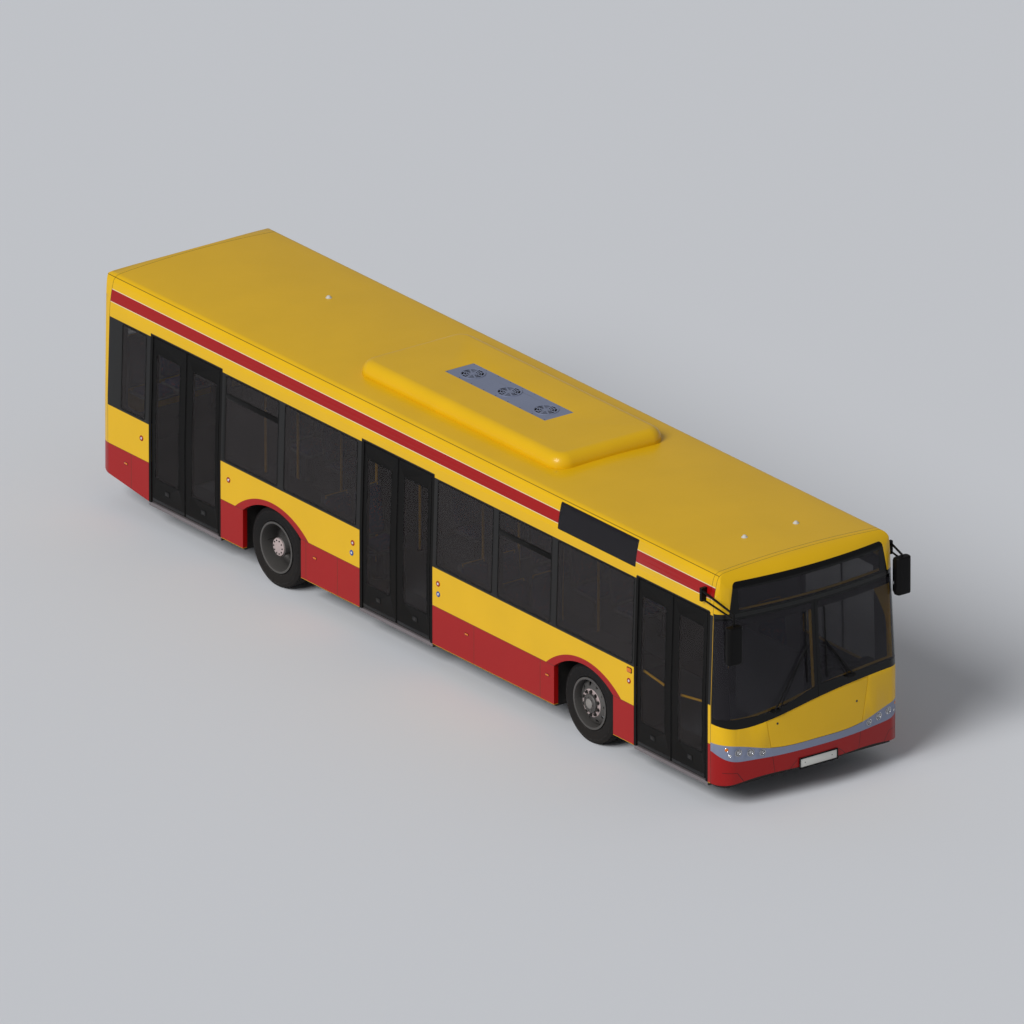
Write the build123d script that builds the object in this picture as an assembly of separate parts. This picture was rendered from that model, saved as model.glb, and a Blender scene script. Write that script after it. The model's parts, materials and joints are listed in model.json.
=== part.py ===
from build123d import *
import os
from math import atan2, degrees, sqrt

# City bus, low floor, three double doors on the right.
# Millimetres. The front faces -Y, the doors are on -X, +Z is up, the road is Z = 0.
# Lengths along the bus are measured from the middle of the body, and save() then moves
# every piece so that the origin lies under the middle of the whole bus, mirrors included.

# ---------------------------------------------------------------- driving dimensions
length = 12000.0
width = 2550.0
roof_height = 2845.0
front_overhang = 2700.0
wheelbase = 5900.0
wall = 60.0
mirror_reach = 190.0

sill_z = 300.0
skirt_rise_y = 4950.0
skirt_tail_z = 420.0
belt_z = 1245.0
window_top_z = 2320.0
roof_seam_z = 2430.0
floor_top = 305.0
floor_depth = 50.0

# body outline
lean_x, lean_z = 1240.0, 2345.0
cant_x, cant_z = 1206.0, 2640.0
eave_x, eave_z = 1165.0, 2798.0
eave_radius = 110.0
front_bow = 135.0
rear_bow = 35.0
front_corner_radius = 230.0
rear_corner_radius = 260.0
front_lean_start = 1150.0
front_lean = 132.0
front_brow_radius = 260.0
rear_lean = 40.0
rear_brow_radius = 220.0
form_slack = 3.0
mask_side_y = 330.0
mask_roof_y = 400.0
rear_panel_y = 247.0

# wheels
tyre_radius = 475.0
tyre_width = 275.0
bead_radius = 292.0
front_tyre_face = 1200.0
rear_tyre_face = 1225.0
twin_pitch = 330.0
arch_half = 555.0
arch_straight_z = 775.0
arch_peak_z = 972.0

# steering
kingpin_x = 890.0
steering_arm = 250.0
track_rod_z = 190.0
track_rod_radius = 16.0

# doors: centre along the bus and overall opening
door_opening = 1382.0
door_flange = 45.0
flange_thickness = 8.0
door_gap = 10.0
door_meeting_gap = 6.0
door_top_z = 2360.0
door_thickness = 35.0
door_inset = 5.0
post_x = 1215.0
post_radius = 12.0
post_edge = 32.5
arm_thickness = 13.0
arm_half = 14.0
guide_inset = 20.0
front_door_y = -4930.0
middle_door_y = 237.0
rear_door_y = 4270.0

glass = 6.0
glass_inset = 1.0
seat_clearance = 0.3

# windows: start and end along the bus, sill and head
right_windows = [(5035, 5500), (2500, 3510), (1000, 2385), (-1570, -520), (-2670, -1670), (-4210, -2780)]
left_windows = [(3650, 4950), (2500, 3510), (1000, 2385), (-430, 890), (-1570, -540), (-2670, -1670), (-3960, -2780)]
driver_window = (-5480, -4080)
driver_window_sill = 1010.0
window_sill = 1272.0
window_head = 2306.0
window_rebate = 28.0
window_corner = 30.0

# ends
flap_half = 775.0
flap_foot_half = 615.0
flap_depth = 22.0
hatch_half = 860.0
hatch_sill_z = 640.0
hatch_head_z = 1430.0
rear_window_half = 980.0
rear_window_sill = 1560.0
rear_window_head = 2230.0

# under the floor and inside
rail_depth = 45.0
jack_pad_radius = 60.0
wheel_box_inner = 550.0
wheel_box_half = 620.0
wheel_box_top = 1010.0
wheel_box_wall = 25.0
beam_half = 55.0
rise_half = 38.0
engine_front_y = 5010.0
deck_z = 1000.0
cab_side_x = 300.0
cab_back_y = -4060.0
cab_floor_z = 480.0
driver_x = 740.0
seat_width = 420.0
rail_x = 308.0

# roof pod
pod_half = 785.0
pod_front_y = -2170.0
pod_rear_y = 1680.0
pod_top_z = 2990.0
pod_edge_radius = 140.0
plate_half = 207.0
plate_front_y = -1150.0
plate_rear_y = 740.0
fan_pitch = 690.0

# ---------------------------------------------------------------- worked out from those
half = width / 2
front_y = -length / 2
rear_y = length / 2
front_axle_y = front_y + front_overhang
rear_axle_y = front_axle_y + wheelbase
centre_shift = mirror_reach / 2
axle_z = tyre_radius
front_wheel_x = front_tyre_face - tyre_width / 2
rear_wheel_x = rear_tyre_face - tyre_width / 2
glass_seat = glass_inset + glass + seat_clearance
base_z = sill_z - 250
beyond = half + 150
inside = half - 300


os.makedirs("parts", exist_ok=True)


def save(shape, name):
    """Write one sub-part with the origin under the middle of the whole bus."""
    export_step(Pos(0, centre_shift, 0) * shape, f"parts/{name}.step")


def block(x0, x1, y0, y1, z0, z1):
    """Box between two corners."""
    middle = Pos((x0 + x1) / 2, (y0 + y1) / 2, (z0 + z1) / 2)
    return middle * Box(abs(x1 - x0), abs(y1 - y0), abs(z1 - z0))


def side_block(side, x0, x1, y0, y1, z0, z1):
    """Box on one side of the bus: side is -1 on the right, +1 on the left."""
    return block(side * x0, side * x1, y0, y1, z0, z1)


def side_window(side, y0, y1, z0, z1, radius):
    """Prism through a side wall with rounded corners."""
    outline = Pos((y0 + y1) / 2, (z0 + z1) / 2) * RectangleRounded(abs(y1 - y0), z1 - z0, radius)
    prism = extrude(Plane.YZ * outline, beyond - inside)
    return Pos(inside, 0, 0) * prism if side > 0 else Pos(-beyond, 0, 0) * prism


def end_window(x0, x1, z0, z1, radius, y0, y1):
    """Prism through an end wall with rounded corners."""
    outline = Pos((x0 + x1) / 2, (z0 + z1) / 2) * RectangleRounded(abs(x1 - x0), z1 - z0, radius)
    return Pos(0, y1, 0) * extrude(Plane.XZ * outline, y1 - y0)


def fused(shapes):
    """Join a list of shapes."""
    result = shapes[0]
    for shape in shapes[1:]:
        result = result + shape
    return result


def tube_along(points, radius):
    """Round bar through points, with a ball at each bend."""
    pieces = []
    for start, end in zip(points, points[1:]):
        axis = Line(start, end)
        pieces.append(sweep(Plane(axis @ 0, z_dir=axis % 0) * Circle(radius), path=axis))
    for corner in points[1:-1]:
        pieces.append(Pos(*corner) * Sphere(radius))
    return fused(pieces)


# ---------------------------------------------------------------- body form
def section_prism(inset):
    """The body seen from the front, run along its length."""
    lower = half - inset
    lean = (lean_x - inset, lean_z)
    cant = (cant_x - inset, cant_z)
    eave = (eave_x - inset, eave_z - inset * 0.9)
    crown = (0, roof_height - inset)
    right = [(lower, base_z), (lower, belt_z), lean]
    left = [(-x, z) for x, z in reversed(right)]
    lines = [Polyline(*right)]
    lines.append(ThreePointArc(lean, cant, eave))
    lines.append(ThreePointArc(eave, crown, (-eave[0], eave[1])))
    lines.append(ThreePointArc((-eave[0], eave[1]), (-cant[0], cant[1]), left[0]))
    lines.append(Polyline(*left))
    lines.append(Line(left[-1], right[0]))
    face = make_face(Curve() + lines)
    eaves = [v for v in face.vertices() if abs(v.Y - eave[1]) < 1]
    face = fillet(eaves, eave_radius - inset / 2)
    return extrude(Plane.XZ * face, length / 2 + 50, both=True)


def bow_radius(bow):
    """Radius of an end face that bows out by this much at its middle."""
    return (half * half + bow * bow) / (2 * bow)


def end_prism(inset, end, tilt):
    """Plan of one end, its face bowed and its corners round, leaning inwards by tilt degrees."""
    side = half - inset
    bow = front_bow if end < 0 else rear_bow
    corner = front_corner_radius if end < 0 else rear_corner_radius
    knee = front_lean_start if end < 0 else belt_z
    radius = bow_radius(bow) - inset
    tip = end * (length / 2 - inset)
    root = tip - end * (radius - sqrt(radius * radius - side * side))
    far = -end * (length / 2 + 500)
    lines = [
        Polyline((side, root), (side, far), (-side, far), (-side, root)),
        ThreePointArc((-side, root), (0, tip), (side, root)),
    ]
    face = make_face(Curve() + lines)
    face = fillet([v for v in face.vertices() if abs(v.Y - root) < 1], corner - inset)
    prism = Pos(0, -tip, -length / 4) * extrude(face, length / 2)
    return Pos(0, tip, knee) * Rot(X=end * tilt) * prism


def brow_cut(inset):
    """What the rounded brow over the windscreen takes away, turned about the bow's centre."""
    front = front_y + inset - form_slack
    crown = roof_height - inset + form_slack
    inner = make_face(
        Polyline(
            (front, front_lean_start),
            (front + front_lean, crown),
            (front + 1500, crown),
            (front + 1500, front_lean_start),
            close=True,
        )
    )
    brow = [v for v in inner.vertices() if v.Y > crown - 1 and v.X < front + front_lean + 1]
    inner = fillet(brow, front_brow_radius - inset)
    outer = Pos(front + 350, crown - 250) * Rectangle(1300, 900)
    centre = front_y + bow_radius(front_bow)
    ring = revolve(Plane.YZ * (outer - inner), Axis((0, centre, 0), (0, 0, 1)), 40)
    return Pos(0, centre, 0) * Rot(Z=-20) * Pos(0, -centre, 0) * ring


def tail_prism(inset):
    """The round rear edge of the roof, seen from the side."""
    rear = rear_y - inset + form_slack
    crown = roof_height - inset + form_slack
    outline = Polyline(
        (2 * front_y, -length),
        (2 * front_y, crown),
        (rear - rear_lean, crown),
        (rear, belt_z),
        (rear, -length),
        close=True,
    )
    face = make_face(outline)
    tail = [v for v in face.vertices() if v.Y > crown - 1 and v.X > 0]
    face = fillet(tail, rear_brow_radius - inset)
    return extrude(Plane.YZ * face, half + 50, both=True)


forms = {}


def form(inset):
    """Solid body form drawn in by inset, open to anything below the sill."""
    if inset not in forms:
        rise = roof_height - front_lean_start
        solid = section_prism(inset) & end_prism(inset, -1, 0) & end_prism(inset, 1, 0)
        solid = solid & end_prism(inset, -1, degrees(atan2(front_lean, rise)))
        solid = solid & end_prism(inset, 1, degrees(atan2(rear_lean, roof_height - belt_z)))
        forms[inset] = (solid & tail_prism(inset)) - brow_cut(inset)
    return forms[inset]


def skin(outer, inner, region):
    """The layer between two depths below the body surface, inside a region."""
    return (form(outer) & region) - form(inner)


def arch_prism(axle_y, side, grow):
    """Wheel arch opening through a side wall."""
    reach = arch_half + grow
    peak = arch_peak_z + grow
    outline = [
        Line((axle_y - reach, base_z - 50), (axle_y + reach, base_z - 50)),
        Line((axle_y - reach, base_z - 50), (axle_y - reach, arch_straight_z)),
        Line((axle_y + reach, base_z - 50), (axle_y + reach, arch_straight_z)),
        ThreePointArc((axle_y - reach, arch_straight_z), (axle_y, peak), (axle_y + reach, arch_straight_z)),
    ]
    face = make_face(Curve() + outline)
    prism = extrude(Plane.YZ * face, beyond - inside)
    return Pos(inside, 0, 0) * prism if side > 0 else Pos(-beyond, 0, 0) * prism


# ---------------------------------------------------------------- doors
leaf_bottom = floor_top + 5 + arm_thickness + 5
flange_top = door_top_z - 25
leaf_top = flange_top - door_gap
top_arm_z = leaf_top + 5
door_head = top_arm_z + arm_thickness + 6
bottom_arm_z = floor_top + 5
leaf_width = door_opening / 2 - door_flange - door_gap - door_meeting_gap / 2
pivot_from_edge = (leaf_width - guide_inset - post_edge) / 2
arm_length = pivot_from_edge + post_edge
doors = {"front": front_door_y, "middle": middle_door_y, "rear": rear_door_y}


def door_cut(centre):
    """Opening in the right wall for one pair of leaves with their posts."""
    reach = door_opening / 2
    return block(-beyond, -inside, centre - reach, centre + reach, base_z, door_head)


def door_frame(centre):
    """Two jambs and a header: thin flanges outside that hide the turning posts."""
    reach = door_opening / 2
    strips = []
    for hand in (1, -1):
        outer = centre + hand * (reach - seat_clearance)
        inner = centre + hand * (reach - door_flange)
        strips.append(block(-beyond, -inside, min(outer, inner), max(outer, inner), sill_z, door_head - seat_clearance))
    near, far = centre - reach + door_flange, centre + reach - door_flange
    strips.append(block(-beyond, -inside, near, far, flange_top, door_head - seat_clearance))
    return [skin(0, flange_thickness, strip) for strip in strips]


def leaf_places(centre, hand):
    """Edge, meeting edge, post and pivot of a leaf: hand +1 is the leaf nearer the rear."""
    edge = centre + hand * (door_opening / 2 - door_flange - door_gap)
    meeting = centre + hand * door_meeting_gap / 2
    return edge, meeting, edge + hand * post_edge, edge - hand * pivot_from_edge


def door_leaf(centre, hand):
    """Framed leaf that follows the curve of the side, with its pivot pins."""
    edge, meeting, _, pivot = leaf_places(centre, hand)
    region = block(-beyond, -inside, min(edge, meeting), max(edge, meeting), leaf_bottom, leaf_top)
    leaf = skin(door_inset, door_inset + door_thickness, region)
    pane = door_pane_region(centre, hand, 0)
    leaf = leaf - skin(0, door_inset + glass_seat, pane) - door_pane_region(centre, hand, 14)
    bracket = block(-post_x + 22, -post_x - 32, pivot - 25, pivot + 25, leaf_bottom, leaf_bottom + 40)
    lower_pin = Pos(-post_x, pivot, bottom_arm_z + 1) * Cylinder(8, leaf_bottom - bottom_arm_z, align=stand)
    upper_pin = Pos(-post_x, pivot, leaf_top - 1) * Cylinder(8, arm_thickness + 5, align=stand)
    return leaf + bracket + lower_pin + upper_pin


def door_pane_region(centre, hand, shrink):
    """Window of a leaf."""
    edge, meeting, _, _ = leaf_places(centre, hand)
    start = edge - hand * (55 + shrink)
    end = meeting + hand * (112 + shrink)
    return side_window(-1, min(start, end), max(start, end), 612 + shrink, 2148 - shrink, 25 - shrink / 2)


def door_pane(centre, hand):
    """Glass of a leaf."""
    region = door_pane_region(centre, hand, seat_clearance)
    return skin(door_inset + glass_inset, door_inset + glass_inset + glass, region)


def door_post(centre, hand):
    """Turning post with the two arms that carry a leaf."""
    _, _, post, pivot = leaf_places(centre, hand)
    shape = Pos(-post_x, post, floor_top + seat_clearance) * Cylinder(
        post_radius, door_head - floor_top - 2 * seat_clearance, align=stand
    )
    middle = (post + pivot) / 2
    for z in (bottom_arm_z, top_arm_z):
        arm = SlotCenterToCenter(arm_length, 2 * arm_half, rotation=90)
        plate = Pos(-post_x, middle, z) * extrude(arm, arm_thickness)
        eye = Pos(-post_x, pivot, z - 1) * Cylinder(8.3, arm_thickness + 2, align=stand)
        shape = shape + (plate - eye)
    return shape


stand = (Align.CENTER, Align.CENTER, Align.MIN)


# ---------------------------------------------------------------- body panels
wall_front_y = front_y + mask_side_y
wall_rear_y = rear_y - rear_panel_y
roof_front_y = front_y + mask_roof_y


def skirt_cut():
    """What rises from the rear arch to the tail under the rear overhang."""
    outline = Polyline(
        (skirt_rise_y, sill_z - 100),
        (skirt_rise_y, sill_z),
        (wall_rear_y - 10, skirt_tail_z - 20),
        (rear_y - 140, skirt_tail_z),
        (rear_y + 50, skirt_tail_z),
        (rear_y + 50, sill_z - 100),
        close=True,
    )
    return extrude(Plane.YZ * make_face(outline), half + 50, both=True)


def glazed_wall(side, windows):
    """One side wall with its arches and windows."""
    region = side_block(side, inside, beyond, wall_front_y, wall_rear_y, sill_z, roof_seam_z)
    panel = skin(0, wall, region)
    panel = panel - skirt_cut()
    for axle_y in (front_axle_y, rear_axle_y):
        panel = panel - arch_prism(axle_y, side, 0)
    for y0, y1, z0, z1 in windows:
        panel = panel - skin(0, glass_seat, side_window(side, y0, y1, z0, z1, window_corner))
        panel = panel - side_window(
            side, y0 + window_rebate, y1 - window_rebate, z0 + window_rebate, z1 - window_rebate, window_corner / 2
        )
    return panel


def window_panes(side, windows):
    """The panes of one side, each seated in its rebate."""
    gap = seat_clearance
    panes = []
    for y0, y1, z0, z1 in windows:
        region = side_window(side, y0 + gap, y1 - gap, z0 + gap, z1 - gap, window_corner)
        panes.append(skin(glass_inset, glass_inset + glass, region))
    return panes


right_panes = [(a, b, window_sill, window_head) for a, b in right_windows]
left_panes = [(a, b, window_sill, window_head) for a, b in left_windows]
left_panes.append((*driver_window, driver_window_sill, window_head))

right_wall = glazed_wall(-1, right_panes)
door_frames = []
for centre in doors.values():
    right_wall = right_wall - door_cut(centre)
    door_frames = door_frames + door_frame(centre)
rail_cut = block(-beyond, -inside, front_y, rear_y, door_head - seat_clearance, door_head)
right_wall = right_wall - rail_cut
left_wall = glazed_wall(1, left_panes)
save(right_wall, "right_wall")
save(Compound(door_frames), "door_frames")
save(left_wall, "left_wall")
save(Compound(window_panes(-1, right_panes) + window_panes(1, left_panes)), "side_windows")

# roof, with the rebate of the side sign
sign_region = side_window(-1, -4215, -2760, 2440, 2755, 15)
roof_region = block(-beyond, beyond, roof_front_y, wall_rear_y, roof_seam_z, roof_height + 20)
roof_shell = skin(0, wall, roof_region) - skin(0, glass_seat, sign_region)
save(roof_shell, "roof_shell")


def end_prism_y(face):
    """Run an outline seen from the front through the whole front end."""
    return Pos(0, front_y + 500, 0) * extrude(Plane.XZ * face, 600)


def below_curve(points, foot):
    """Everything in the front end below a curve given for one side and mirrored."""
    right = [(-x, z) for x, z in reversed(points[1:])]
    curve = Spline(*(right + points))
    reach = points[-1][0]
    sides = Polyline(points[-1], (reach, foot), (-reach, foot), right[0])
    return end_prism_y(make_face(Curve() + [curve, sides]))


def windscreen_prism(shrink):
    """Windscreen seen from the front: its foot dips on the door side."""
    side = half + 20
    foot_points = [(-side, 1035), (95 - half, 996), (-716, 1003), (-95, 1129), (714, 1207), (side, 1196)]
    foot_points = [(x, z + shrink) for x, z in foot_points]
    foot = Spline(*foot_points)
    top = windscreen_top - shrink
    rest = Polyline(foot_points[-1], (side, top), (-side, top), foot_points[0])
    prism = end_prism_y(make_face(Curve() + [foot, rest]))
    return prism & block(-beyond, beyond, front_y - 200, wall_front_y - 8 - shrink, 900, 2500)


def sign_prism(shrink):
    """Destination window seen from the front, wider at its foot."""
    outline = Polyline(
        (-1050 + shrink, 2712 - shrink),
        (1050 - shrink, 2712 - shrink),
        (1116 - shrink, 2342 + shrink),
        (-1116 + shrink, 2342 + shrink),
        close=True,
    )
    face = make_face(outline)
    upper = [v for v in face.vertices() if v.Y > 2500]
    return end_prism_y(fillet(upper, 60 - shrink))


windscreen_top = 2300.0
pillar_half = 45.0
strip_top = [(0, 648), (667, 675), (966, 749), (half + 15, 800)]
strip_foot = [(0, 560), (650, 566), (930, 576), (1106, 590), (half - 30, 655), (half + 15, 775)]
under_strip_top = below_curve(strip_top, 100)
under_strip_foot = below_curve(strip_foot, 100)

mask_low = block(-beyond, beyond, front_y - 10, wall_front_y, sill_z - 50, roof_seam_z)
mask_high = block(-beyond, beyond, front_y - 10, roof_front_y, roof_seam_z, roof_height + 20)
front_shell = skin(0, wall, mask_low + mask_high)
front_mask = front_shell - under_strip_top
centre_post = block(-pillar_half, pillar_half, front_y - 10, front_y + 500, 900, 2400)
corner_post = side_block(1, 1150, beyond, front_y - 10, wall_front_y + 10, 900, 2400)
screen_hole = windscreen_prism(110) - centre_post - corner_post - mirror(corner_post, Plane.YZ)


def flap_zone(grow):
    """Trapezium of the front flap, grown all round, between the glass and the lamp strip."""
    outline = Polyline(
        (-flap_half - grow, 1400),
        (flap_half + grow, 1400),
        (flap_foot_half + grow, 500),
        (-flap_foot_half - grow, 500),
        close=True,
    )
    prism = end_prism_y(make_face(outline)) - windscreen_prism(-8 + grow)
    return prism - Pos(0, 0, -grow) * under_strip_top


front_mask = front_mask - skin(0, glass_seat, windscreen_prism(0)) - screen_hole
front_mask = front_mask - skin(0, glass_seat, sign_prism(0)) - sign_prism(35)
front_mask = front_mask - skin(0, flap_depth + 8, flap_zone(0))
front_mask = front_mask - end_window(-480, 480, 760, 960, 30, front_y - 10, front_y + 500)
for x, z in ((-640, 900), (640, 900), (-560, 730), (560, 730)):
    buffer = Pos(x, front_y + 200, z) * Rot(X=90) * Cylinder(22, 260, align=stand)
    front_mask = front_mask + skin(flap_depth + seat_clearance, flap_depth + 12, buffer)
save(front_mask, "front_mask")

screen = skin(glass_inset, glass_inset + glass, windscreen_prism(seat_clearance))
screens = screen - block(-2, 2, front_y - 10, front_y + 500, 800, 2400)
sign_pane = skin(glass_inset, glass_inset + glass, sign_prism(seat_clearance))
side_sign = skin(glass_inset, glass_inset + glass, side_window(-1, -4214, -2761, 2441, 2754, 15))
save(Compound([screens, sign_pane, side_sign]), "front_glass")
save(skin(0, flap_depth, flap_zone(-5)), "front_flap")

# lamp strip and bumper
lamp_strip = (front_shell & under_strip_top) - under_strip_foot
lamps = {1058: (692, 46), 904: (668, 48), 752: (640, 42)}
lamp_bodies = []
for x, (z, radius) in lamps.items():
    for side in (1, -1):
        bore = Pos(side * x, front_y + 300, z) * Rot(X=90) * Cylinder(radius, 400, align=stand)
        lamp_strip = lamp_strip - skin(0, 30, bore)
        lens = Pos(side * x, front_y + 300, z) * Rot(X=90) * Cylinder(radius - seat_clearance, 400, align=stand)
        lamp_bodies.append(skin(2, 30 - seat_clearance, lens))
save(lamp_strip, "lamp_strip")
save(Compound(lamp_bodies), "headlamps")

bumper_foot = [(0, 352), (900, 345), (half - 125, 310), (half + 15, 300)]
front_bumper = (front_shell & under_strip_foot) - below_curve(bumper_foot, 100)
save(front_bumper, "front_bumper")

# rear wall with window, hatch opening
rear_region = block(-beyond, beyond, wall_rear_y, rear_y + 10, sill_z, roof_height + 20)
rear_wall = skin(0, wall, rear_region) - skirt_cut()
rear_window_prism = end_window(
    -rear_window_half, rear_window_half, rear_window_sill, rear_window_head, 60, rear_y - 300, rear_y + 10
)
rear_wall = rear_wall - skin(0, glass_seat, rear_window_prism)
rear_wall = rear_wall - end_window(
    -rear_window_half + 30,
    rear_window_half - 30,
    rear_window_sill + 30,
    rear_window_head - 30,
    40,
    rear_y - 300,
    rear_y + 10,
)
hatch_prism = end_window(-hatch_half, hatch_half, hatch_sill_z, hatch_head_z, 40, rear_y - 300, rear_y + 10)
rear_wall = rear_wall - hatch_prism


def hatch_hinge(x, fixed):
    """One leaf of a hatch hinge: the fixed one has the pin and the outer barrels."""
    axis_place = Pos(x, hatch_axis_y, hatch_axis_z) * Rot(Y=90)
    barrel_pair = Pos(0, 0, hinge_pitch) * Cylinder(hinge_radius, hinge_barrel)
    barrel_pair = barrel_pair + Pos(0, 0, -hinge_pitch) * Cylinder(hinge_radius, hinge_barrel)
    middle_barrel = Cylinder(hinge_radius, hinge_barrel)
    rise = 30 if fixed else -30
    if fixed:
        strap = block(x - hinge_pitch - 14, x + hinge_pitch + 14, rear_y - 40, hatch_axis_y - 1, 1, rise)
        leaf = barrel_pair + Cylinder(hinge_pin, 2 * hinge_pitch)
        notch = Cylinder(hinge_radius + 2, hinge_barrel + 4) - Cylinder(hinge_pin, 2 * hinge_pitch)
    else:
        strap = block(x - 14, x + 14, rear_y - 40, hatch_axis_y - 1, rise, -1)
        leaf = middle_barrel - Cylinder(hinge_pin + 0.3, 2 * hinge_pitch)
        notch = barrel_pair + Cylinder(hinge_pin + 0.3, 2 * hinge_pitch)
        notch = notch + Pos(0, 0, hinge_pitch) * Cylinder(hinge_radius + 2, hinge_barrel + 4)
        notch = notch + Pos(0, 0, -hinge_pitch) * Cylinder(hinge_radius + 2, hinge_barrel + 4)
    plate = (Pos(0, 0, hatch_axis_z) * strap) & form(-hinge_strap) - form(2)
    return (plate - axis_place * notch) + axis_place * leaf


hinge_radius = 7.0
hinge_pin = 3.0
hinge_barrel = 26.0
hinge_pitch = 28.0
hinge_strap = 4.0
hinge_x = 550.0
hatch_axis_y = rear_y - 3.375 - rear_lean * max(0, hatch_head_z - belt_z) / (roof_height - belt_z)
hatch_axis_z = hatch_head_z - 3
for side in (1, -1):
    notch = Cylinder(hinge_radius + 2, hinge_barrel + 4)
    rear_wall = rear_wall - Pos(side * hinge_x, hatch_axis_y, hatch_axis_z) * Rot(Y=90) * notch
    rear_wall = rear_wall + hatch_hinge(side * hinge_x, True)
save(rear_wall, "rear_wall")
rear_pane = end_window(
    -rear_window_half + 0.3,
    rear_window_half - 0.3,
    rear_window_sill + 0.3,
    rear_window_head - 0.3,
    60,
    rear_y - 300,
    rear_y + 10,
)
save(skin(glass_inset, glass_inset + glass, rear_pane), "rear_window")
hatch_gap = 6.0
hatch_body = end_window(
    -hatch_half + hatch_gap,
    hatch_half - hatch_gap,
    hatch_sill_z + hatch_gap,
    hatch_head_z - hatch_gap,
    36,
    rear_y - 300,
    rear_y + 10,
)
hatch = skin(0, 35, hatch_body)
for side in (1, -1):
    barrels = Pos(side * hinge_x, hatch_axis_y, hatch_axis_z) * Rot(Y=90) * Cylinder(hinge_radius + 2, 90)
    hatch = (hatch - barrels) + hatch_hinge(side * hinge_x, False)
save(hatch, "engine_hatch")

# doors
for name, centre in doors.items():
    for hand, place in ((1, "rear"), (-1, "front")):
        save(door_leaf(centre, hand), f"{name}_door_{place}_leaf")
        save(door_pane(centre, hand), f"{name}_door_{place}_glass")
        save(door_post(centre, hand), f"{name}_door_{place}_post")


# ---------------------------------------------------------------- floor and inside
floor_x = half - wall - seat_clearance
floor_front_y = front_y + 190


tow_radius = 14.5
tow_depth = 80.0
tow_rear_x = 320.0


def chassis_floor():
    """Low floor with sills at the doors, wheel boxes and the frame under it."""
    low = floor_top - floor_depth
    slab = block(-floor_x, floor_x, wall_front_y, engine_front_y, low, floor_top)
    slab = slab + (block(-floor_x, floor_x, floor_front_y, wall_front_y, low, floor_top) & form(wall + 1))
    for centre in doors.values():
        reach = door_opening / 2 - seat_clearance
        slab = slab + block(-half + 12, -floor_x, centre - reach, centre + reach, low, sill_z - 0.3)
    for axle_y in (front_axle_y, rear_axle_y):
        for side in (1, -1):
            near, far = axle_y - wheel_box_half - seat_clearance, axle_y + wheel_box_half + seat_clearance
            inner = wheel_box_inner - seat_clearance
            slab = slab - side_block(side, inner, half, near, far, low - 10, floor_top + 10)
    for x in (-420, 420):
        beam = block(x - 45, x + 45, front_y + 260, engine_front_y, low - rail_depth, low + 1)
        slab = slab + beam
    beam_zone = block(-600, 600, front_axle_y - 140, front_axle_y + 330, low - 60, low)
    axle_zone = block(-600, 600, rear_axle_y - 200, rear_axle_y + 200, low - 60, low)
    slab = slab - beam_zone - axle_zone
    for x in (-420, 420):
        socket = Pos(x, front_y + 260 + tow_depth, low - 22) * Rot(X=90) * Cylinder(tow_radius, tow_depth + 10, align=stand)
        slab = slab - socket
        for y in (front_axle_y + 800, rear_axle_y - 800):
            slab = slab + Pos(x, y, low - rail_depth) * Cylinder(jack_pad_radius, 20, align=stand)
    return slab


def wheel_boxes():
    """Boxes over the wheels, open below and towards the arches."""
    low = floor_top - floor_depth
    t = wheel_box_wall
    boxes = []
    for axle_y in (front_axle_y, rear_axle_y):
        for side in (1, -1):
            near, far = axle_y - wheel_box_half, axle_y + wheel_box_half
            outer = side_block(side, wheel_box_inner, floor_x, near, far, low, wheel_box_top)
            hollow = side_block(side, wheel_box_inner + t, half, near + t, far - t, low - 10, wheel_box_top - t)
            boxes.append(outer - hollow)
    return boxes


def rear_frame():
    """Bulkhead, raised deck and the two rails that carry the engine."""
    low = floor_top - floor_depth
    front = engine_front_y + seat_clearance
    bulkhead = block(-floor_x, floor_x, front, front + 25, low, deck_z)
    deck = block(-floor_x, floor_x, front, rear_y - 175, deck_z - 25, deck_z) & form(wall + 1)
    shape = bulkhead + deck
    for x in (-tow_rear_x, tow_rear_x):
        rail = block(x - 45, x + 45, front, rear_y - 170, 330, 410)
        socket = Pos(x, rear_y - 170 - tow_depth, 370) * Rot(X=-90) * Cylinder(tow_radius, tow_depth + 10, align=stand)
        shape = shape + rail - socket
    return shape


save(chassis_floor(), "chassis_floor")
save(Compound(wheel_boxes()), "wheel_boxes")
save(rear_frame(), "rear_frame")
engine = block(-150, 850, engine_front_y + 70, rear_y - 260, 410 + seat_clearance, deck_z - 60)
save(engine, "engine_block")


def seat(x, y, floor_z, facing):
    """One seat: pan, back and a pedestal; facing -1 looks forward."""
    pan = Pos(0, 0, 430) * Box(seat_width, 420, 60)
    back = Pos(0, 215, 430) * Rot(X=-8) * Pos(0, 0, 330) * Box(seat_width, 50, 620)
    foot = Pos(0, 60, 0) * Box(200, 200, 402, align=stand)
    shape = foot + pan + back
    turned = shape if facing < 0 else Rot(Z=180) * shape
    return Pos(x, y, floor_z + seat_clearance) * turned


def driver_seat():
    """The driver's seat on the cab floor."""
    return seat(driver_x, -4420, cab_floor_z, -1)


seat_x = (floor_x - 20 - seat_width / 2, floor_x - 30 - seat_width * 3 / 2)
seat_rows = {1: (-1900, -1150, -400, 350, 1100, 3550, 4300), -1: (-1900, -1150, 1450)}
seats = [driver_seat()]
for side, rows in seat_rows.items():
    for y in rows:
        for x in seat_x:
            seats.append(seat(side * x, y, floor_top, -1))
for i in range(5):
    seats.append(seat((i - 2) * (seat_width + 30), rear_y - 640, deck_z, -1))
save(Compound(seats), "seats")


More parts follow.
